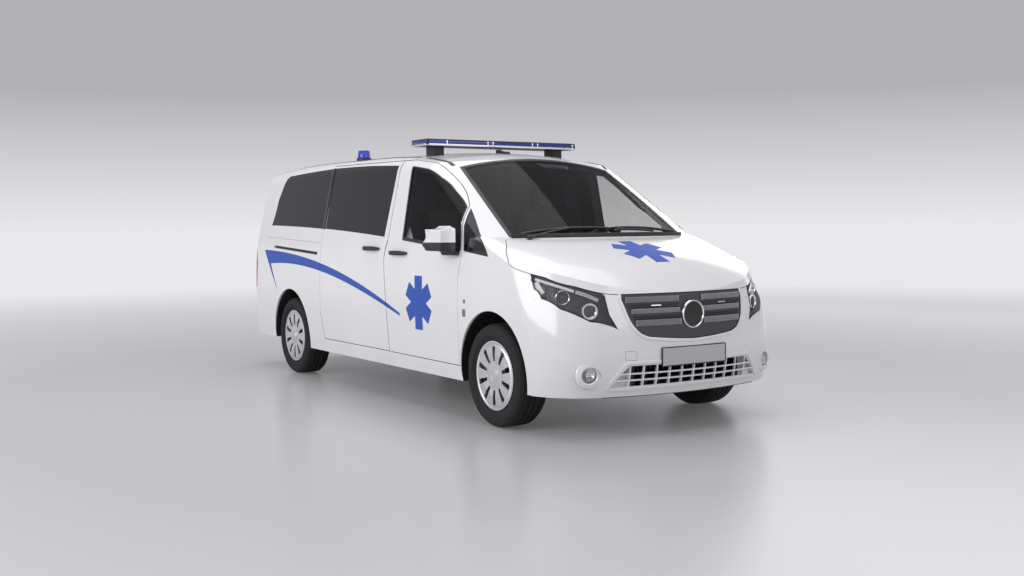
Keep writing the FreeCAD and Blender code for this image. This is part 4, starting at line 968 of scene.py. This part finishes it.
# %% Lattice bands and louvres in the grille
BAND_START, CELL, ROD_MARGIN = 0.094, 0.0095, 0.001
BANDS = ((0.836, 0.872, 0.474), (0.768, 0.800, 0.446), (0.692, 0.730, 0.426))
LOUVRES = ((0.462, 0.822), (0.452, 0.806), (0.432, 0.752), (0.420, 0.738))
ROD = [(-0.0019, 0.0), (0.0019, 0.0), (0.0012, 0.0032), (-0.0012, 0.0032)]
LOUVRE = [(-0.006, -0.002), (0.006, -0.002), (0.0045, 0.004), (0.001, 0.009), (-0.003, 0.004)]
for side, hand in SIDES:
    rods, strips = [], []
    for low, high, y_far in BANDS:
        count = int((y_far - BAND_START) / CELL)
        y = np.linspace(BAND_START, y_far, count) * side
        edge, _ = on_front(spread(y, high + 0.002))
        foot, _ = on_front(spread(y, low - 0.002))
        face = np.maximum(edge[:, 0], foot[:, 0])
        forward = np.tile(AHEAD_VIEW, (count, 1))
        half = (high - low) / 2
        strips.append(swept(spread(face, y, (low + high) / 2), forward,
                            [(-half, -0.003), (half, -0.003), (half, 0.001), (-half, 0.001)]))
        for shift in (0, 1):
            for level in (0, 1):
                z = low + half * (level + (np.arange(count) + shift) % 2)
                z = np.clip(z, low + ROD_MARGIN, high - ROD_MARGIN)
                rods.append(swept(spread(face + 0.001, y, z), forward, ROD))
    as_object("grille_bands_" + hand, *joined(strips), gloss_black, smooth=20.0)
    as_object("grille_lattice_" + hand, *joined(rods), mesh_grey, smooth=20.0)
    fins = [swept(*on_front(spread(np.linspace(0.10, y_far, 30) * side, z_mid)), LOUVRE)
            for y_far, z_mid in LOUVRES]
    as_object("grille_louvres_" + hand, *joined(fins), grey_trim)
    clasp = on_front(spread(np.linspace(0.235, 0.305, 8) * side, 0.814), 0.006)
    as_object("grille_clasp_" + hand, *swept(*clasp, rounded(0.007, 0.004, 0.0015)), bright)

# %% Badge ring, left plain
BADGE_CENTRE = (ahead(0.016), 0.0, 0.752)
ring = [(0.076, -0.010), (0.077, 0.003), (0.081, 0.008), (0.087, 0.007), (0.090, 0.001),
        (0.090, -0.012)]
dish = [(0.0, 0.002), (0.03, 0.0022), (0.06, 0.0030), (0.079, 0.0042)]
as_object("badge_ring", *turned(ring, BADGE_CENTRE, AHEAD_VIEW, 72), bright)
as_object("badge_face", *turned(dish, BADGE_CENTRE, AHEAD_VIEW, 72), gloss_black)

# %% Rims around the grille and the lower intake
GRILLE_RIM = [(0, -498, 885, 0), (0, -467, 765, 12), (0, -392, 650, 10), (0, -345, 630, 4),
              (0, 0, 604, 4), (0, 345, 630, 10), (0, 392, 650, 12), (0, 467, 765, 0),
              (0, 498, 885, 0)]
INTAKE = [(0, -610, 314, -8), (0, -492, 464, 0), (0, 492, 464, -8), (0, 610, 314, 6)]
for name, rows, grow, closed, width, height, finish in (
        ("grille_rim", GRILLE_RIM, 0.014, False, 0.020, 0.007, paint),
        ("grille_edge", GRILLE_RIM, 0.001, False, 0.006, 0.003, gloss_black),
        ("intake_rim", INTAKE, 0.006, True, 0.024, 0.008, paint)):
    laid = seen_along(rows, AHEAD_VIEW, grow=grow, closed=closed)
    bead(name, *laid, width, height, finish, closed=closed)

# %% Painted shade behind the intake's middle, a dark sheet; pale blinds behind its ends
behind_intake = set_back(0.60, 41, 0.300, 0.045, 0.315, 0.470)
# The gloss black sheet is painted shade in the hollow behind the intake.
sheet("intake_shade_sheet", behind_intake[6:35], gloss_black)
sheet("intake_blind_right", behind_intake[:7] + (0.028, 0.0, 0.0), paint)
sheet("intake_blind_left", behind_intake[34:] + (0.028, 0.0, 0.0), paint)

# %% Frames around the bare plates
PLATE_HALF = 0.2615
for node, body, end, outward in (("front_plate", "body", 1, 1.0), ("rear_plate", "rear_door", 0, -1.0)):
    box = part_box(node)
    x, z_low, z_high = box[end].x - outward * 0.001, box[0].z - 0.001, box[1].z + 0.001
    corners = [(x, -PLATE_HALF, z_low), (x, PLATE_HALF, z_low), (x, PLATE_HALF, z_high),
               (x, -PLATE_HALF, z_high)]
    loop = straight_line(corners + corners[:1], 0.05)[:-1]
    section = rounded(0.007, 0.010, 0.003) - (0, 0.006)
    as_object(node + "_frame", *swept(loop, np.tile((outward, 0.0, 0.0), (len(loop), 1)), section, True),
              black_trim, body)

# %% Seam of the towing-eye cap, and the black lip under the apron
corners = [(-0.508, 0.546), (-0.432, 0.538), (-0.436, 0.486), (-0.508, 0.491)]
loop = on_front(straight_line(np.array(corners + corners[:1]), 0.01)[:-1])
as_object("towing_cap_seam", *swept(*loop, rounded(0.0024, 0.0016, 0.0007) - (0, 0.001), True), seam_grey)
line, _ = on_front(spread(np.linspace(-0.62, 0.62, 50), 0.268))
line -= (0.035, 0.0, 0.012)
as_object("apron_lip", *swept(line, np.tile((0.0, 0.0, 1.0), (50, 1)), rounded(0.050, 0.014, 0.005)),
          black_trim)

# %% [markdown]
# ## Light bar and beacon
# The bar's solid gives the black core, lid and feet. Its lenses are bands that run around it: a
# profile carried along a rounded rectangle. The beacon's dome gets ribs by turning a wavy profile.

# %% Light bar bands and studs
BAR_X, BAR_TOP = ahead(2.345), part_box("light_bar")[1].z
HALF_DEEP, HALF_LONG, BAR_CORNER = 0.125, 0.690, 0.030
around, around_out = [], []
for quarter, signs in enumerate(((1, 1), (-1, 1), (-1, -1), (1, -1))):
    angle = np.linspace(0, np.pi / 2, 7) + quarter * np.pi / 2
    direction = spread(np.cos(angle), np.sin(angle))
    centre = np.array(signs) * (HALF_DEEP - BAR_CORNER, HALF_LONG - BAR_CORNER)
    around.append(centre + direction * BAR_CORNER)
    around_out.append(direction)
around, around_out = np.concatenate(around), np.concatenate(around_out)
for name, below_top, above_foot, proud, finish in (
        ("light_bar_lens", 0.012, 0.033, 0.0035, bar_lens),
        ("light_bar_tray", 0.036, 0.051, 0.0030, silver)):
    z_low, z_high = BAR_TOP - above_foot, BAR_TOP - below_top
    half = (z_high - z_low) / 2
    section = [(-half, -0.004), (half, -0.004), (half, proud * 0.6), (half * 0.7, proud),
               (-half * 0.7, proud), (-half, proud * 0.6)]
    points = spread(around[:, 0] + BAR_X, around[:, 1], (z_low + z_high) / 2)
    outs = spread(around_out[:, 0], around_out[:, 1], 0.0)
    as_object(name, *swept(points, outs, section, True), finish)
STUD = [(0.0, 0.006), (0.005, 0.0055), (0.007, 0.003), (0.0075, -0.004)]
studs = []
for y in (-0.515, -0.150, -0.105, 0.265, 0.315, 0.655):
    for sign in (1.0, -1.0):
        for z in (BAR_TOP - 0.018, BAR_TOP - 0.040):
            studs.append(turned(STUD, (BAR_X + sign * (HALF_DEEP + 0.002), y, z), (sign, 0, 0), 14))
        studs.append(block((BAR_X + sign * (HALF_DEEP + 0.001), y - 0.004, BAR_TOP - 0.050),
                           (BAR_X + sign * (HALF_DEEP + 0.0045), y + 0.004, BAR_TOP - 0.011)))
as_object("light_bar_studs", *joined(studs), bright)

# %% Beacon ribs and base
low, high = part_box("beacon")
centre, height = ((low.x + high.x) / 2, (low.y + high.y) / 2, low.z), high.z - low.z
RIB_PITCH = 0.0065
z = np.linspace(0.030, height - 0.004, 40)
ribs = spread(0.0565 - 0.0075 * z / height + 0.0010 * np.cos(z / RIB_PITCH * 2 * np.pi), z)
dome = np.concatenate([[(0.0, height + 0.001), (0.030, height + 0.0008), (0.044, height - 0.001)],
                       ribs[::-1]])
base = [(0.0635, 0.004), (0.0635, 0.016), (0.0610, 0.022), (0.0575, 0.028), (0.0560, 0.030)]
as_object("beacon_dome", *turned(dome, centre, (0, 0, 1), 64), blue_lens)
as_object("beacon_base", *turned(base, centre, (0, 0, 1), 64), black_trim)

# %% [markdown]
# ## Mirror heads
# The housing's upper shell is painted and its lower one is bare plastic. Both come from the frame's
# solid, whose edges are worn round by a voxel remesh and a smoothing, and which is then cut in two.


# %% Soften a node's edges
def softened(node, voxel, rounds):
    """Mesh of a node with its edges worn round: remeshed in cells, then smoothed some rounds."""
    rough = linked("rough", nodes[node].data.copy())
    rough.modifiers.new("weld", "WELD").merge_threshold = 1e-5
    cells = rough.modifiers.new("cells", "REMESH")
    cells.mode, cells.voxel_size = "VOXEL", voxel
    wear = rough.modifiers.new("wear", "SMOOTH")
    wear.factor, wear.iterations = 0.5, rounds
    mesh = bpy.data.meshes.new_from_object(rough.evaluated_get(bpy.context.evaluated_depsgraph_get()))
    bpy.data.objects.remove(rough)
    return mesh


# %% Cut a mesh at a height
def cut_part(name, whole, height, above, finish, body):
    """Closed part of a mesh above or below a height."""
    work = bmesh.new()
    work.from_mesh(whole)
    cut = bmesh.ops.bisect_plane(work, geom=work.verts[:] + work.edges[:] + work.faces[:], dist=1e-6,
                                 plane_co=(0, 0, height), plane_no=(0, 0, -1 if above else 1),
                                 clear_outer=True)
    rim = [item for item in cut["geom_cut"] if isinstance(item, bmesh.types.BMEdge)]
    bmesh.ops.contextual_create(work, geom=rim)
    bmesh.ops.recalc_face_normals(work, faces=work.faces)
    mesh = bpy.data.meshes.new(name)
    work.to_mesh(mesh)
    work.free()
    return placed(name, mesh, finish, body, smooth=50.0)


# %% Shell, base and glass of each mirror
MIRROR_SPLIT = 1.206
for side, hand in SIDES:
    door = "cab_door_" + hand
    whole = softened("mirror_" + hand, 0.005, 22)
    shell = cut_part("mirror_shell_" + hand, whole, MIRROR_SPLIT, True, paint, door)
    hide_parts("mirror_" + hand)
    cut_part("mirror_base_" + hand, whole, MIRROR_SPLIT, False, black_trim, door)
    plan = straight_line([(1.516, 1.088), (1.470, 1.004), (1.440, 0.992)], 0.02)
    pane = spread((ahead(plan[:, 0]) - 0.0035)[:, None], side * plan[:, 1][:, None],
                  np.linspace(1.160, 1.282, 9))
    sheet("mirror_glass_" + hand, pane, bright, door, thickness=0.002)

# %% [markdown]
# ## Wheels
# The pressed wheel is CAD. Added to it are the raised lines of the tyre's sidewall, a plain hub cap
# and the ring around it, all turned around each wheel's own centre.

# %% Tyres and wheels
for corner in CORNERS:
    side = RIGHT if corner.endswith("right") else LEFT
    low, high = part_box("tyre_" + corner)
    hub = (np.array(low) + np.array(high)) / 2
    wheel, axle = "road_wheel_" + corner, (0, side, 0)
    tyre_skin = skin_tree(["tyre_" + corner])
    rings = []
    for radius, proud in ((0.318, 0.0016), (0.300, 0.0012), (0.262, 0.0020), (0.244, 0.0012)):
        start = Vector((hub[0], hub[1] + side * 0.5, hub[2] + radius))
        face = abs(tyre_skin.ray_cast(start, Vector((0, -side, 0)))[0].y - hub[1])
        rings.append(turned([(radius - 0.004, face - 0.003), (radius - 0.0025, face + proud * 0.7),
                             (radius, face + proud), (radius + 0.0025, face + proud * 0.7),
                             (radius + 0.004, face - 0.003)], hub, axle, 96))
    as_object("sidewall_" + corner, *joined(rings), tyre_rubber, wheel)
    face = abs(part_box("wheel_" + corner)[1 if side == LEFT else 0].y - hub[1])
    cap = [(0.0, face + 0.0035), (0.018, face + 0.0032), (0.030, face + 0.0015), (0.034, face - 0.004)]
    ring = [(0.036, face - 0.003), (0.037, face + 0.001), (0.040, face + 0.0015),
            (0.043, face + 0.0005), (0.044, face - 0.004)]
    as_object("hub_cap_" + corner, *turned(cap, hub, axle, 40), silver, wheel)
    as_object("hub_ring_" + corner, *turned(ring, hub, axle, 48), bright, wheel)
    print(corner, "hub at", np.round(hub, 3))

# %% [markdown]
# ## Tail
# The tail's lamps are one solid each; bands on them show the lit zones. The lid carries a pull, a
# high brake lamp and a wiper with its motor cap.

# %% Tail lamp bands, lid pull, high brake lamp and rear wiper
for side, hand in SIDES:
    for name, z_low, z_high in (("reverse", 0.84, 0.90), ("indicator", 0.915, 0.955)):
        z = np.linspace(z_low, z_high, 6)
        rows = [on_back(spread(side * y, z), 0.0012)[0] for y in (0.868, 0.884, 0.90)]
        sheet(f"tail_{name}_{hand}", np.stack(rows), pearl, thickness=0.0015)
bead("high_brake_lamp", *on_back(spread(np.linspace(-0.17, 0.17, 24), 1.782)), 0.018, 0.006, red_lens,
     "rear_door")
bead("lid_pull", *on_back(spread(np.linspace(-0.36, 0.36, 30), 1.030)), 0.040, 0.020, paint, "rear_door")
spot, _ = on_back([(0.0, 1.185)])
boss = [(0.0, 0.026), (0.014, 0.024), (0.020, 0.014), (0.022, -0.002)]
arm = straight_line([(0.0, 1.185), (-0.06, 1.24), (-0.30, 1.40)], 0.02)
blade = straight_line([(-0.10, 1.30), (-0.46, 1.47)], 0.02)
shapes = [swept(*on_back(arm, 0.016), rounded(0.012, 0.008, 0.003)),
          swept(*on_back(blade, 0.003), rounded(0.016, 0.013, 0.005)),
          turned(boss, spot[0], (-1, 0, 0), 24)]
as_object("rear_wiper", *joined(shapes), black_trim, "rear_door")

# %% Markers on the fenders and the seam above the rail
DOT = [(0.0, 0.0018), (0.012, 0.0016), (0.015, 0.0008), (0.0155, -0.002)]
for side, hand in SIDES:
    spot, out = on_flank([(1.222, 0.810)], side)
    tab = on_flank(straight_line([(1.228, 0.706), (1.228, 0.756)], 0.01), side)
    shapes = [turned(DOT, spot[0], out[0], 24), swept(*tab, rounded(0.040, 0.002, 0.0009))]
    as_object("fender_marker_" + hand, *joined(shapes), seam_grey)
    seam = on_flank(smooth_line([(3.66, 1.181), (4.30, 1.203), (4.93, 1.225)], 60), side)
    bead("flank_seam_" + hand, *seam, 0.003, 0.0006, seam_grey, sink=0.001)

# %% Sensor patch at the top of the windscreen and curtain folds on the bulkhead
PATCH_ROWS = ((1.772, 0.150), (1.735, 0.140), (1.700, 0.120), (1.672, 0.090))
patch = [on_top(spread(station, np.linspace(-half, half, 12) + 0.13), -0.007)[0]
         for station, half in PATCH_ROWS]
sheet("sensor_patch", np.stack(patch), gloss_black, thickness=0.0006)
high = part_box("bulkhead")[1]
z = np.linspace(0.70, high.z - 0.12, 6)
for fold, y in enumerate((-0.42, -0.10, 0.06, 0.44)):
    line = spread(high.x + 0.0005, y, z)
    as_object(f"bulkhead_fold_{fold}", *swept(line, np.tile(AHEAD_VIEW, (6, 1)),
                                              rounded(0.018, 0.010, 0.004)), grey_trim)

# %% [markdown]
# ## The studio
# A studio sweep is one pale sheet that runs up behind the object. Here it is a floor that glows a
# little more the farther it lies, so that it meets a pale world with no hard horizon.

# %% Floor
REACH = 400.0
mesh = bpy.data.meshes.new("studio_floor")
mesh.from_pydata([(-REACH, -REACH, 0), (REACH, -REACH, 0), (REACH, REACH, 0), (-REACH, REACH, 0)],
                 [], [(0, 1, 2, 3)])
floor = linked("studio_floor", mesh)
made, w, shader = new_material("studio_floor", (0.50, 0.50, 0.51), 0.28, Emission_Strength=1.0)
distance = w.node("VectorMath", {0: w.place()}, "Value", operation="LENGTH")
# The floor's colour is darker within a few metres of the vehicle, as painted shade round it, and its
# emission, painted light, grows with distance till the floor meets the world's tone.
w.feed(shader, {
    "Base Color": w.mix(w.ramp(distance, 3.0, 14.0), (0.46, 0.46, 0.475), (0.60, 0.60, 0.61)),
    "Emission Color": w.mix(w.ramp(distance, 4.0, 16.0), (0.06, 0.06, 0.062), (0.46, 0.45, 0.46))})
mesh.materials.append(made)
print("floor", 2 * REACH, "m square")

# %% World: soft light for the object, a plain pale tone for the camera and for reflections
world = bpy.data.worlds.new("studio")
bpy.context.scene.world = world
world.use_nodes = True
w = Wires(world.node_tree)
background = world.node_tree.nodes["Background"]
rays = w.node("LightPath", {}).socket.node.outputs
seen = w.highest(*(Signal(w, rays[f"Is {kind} Ray"]) for kind in ("Camera", "Glossy", "Transmission")))
height = w.ramp(w.axes(w.node("TexCoord", {}, "Generated"))[2], 0.0, 0.11)
pale = w.mix(height, (0.80, 0.79, 0.81), (0.45, 0.44, 0.47))
w.feed(background, {"Color": w.mix(seen, (0.42, 0.42, 0.43), pale), "Strength": 1.0})
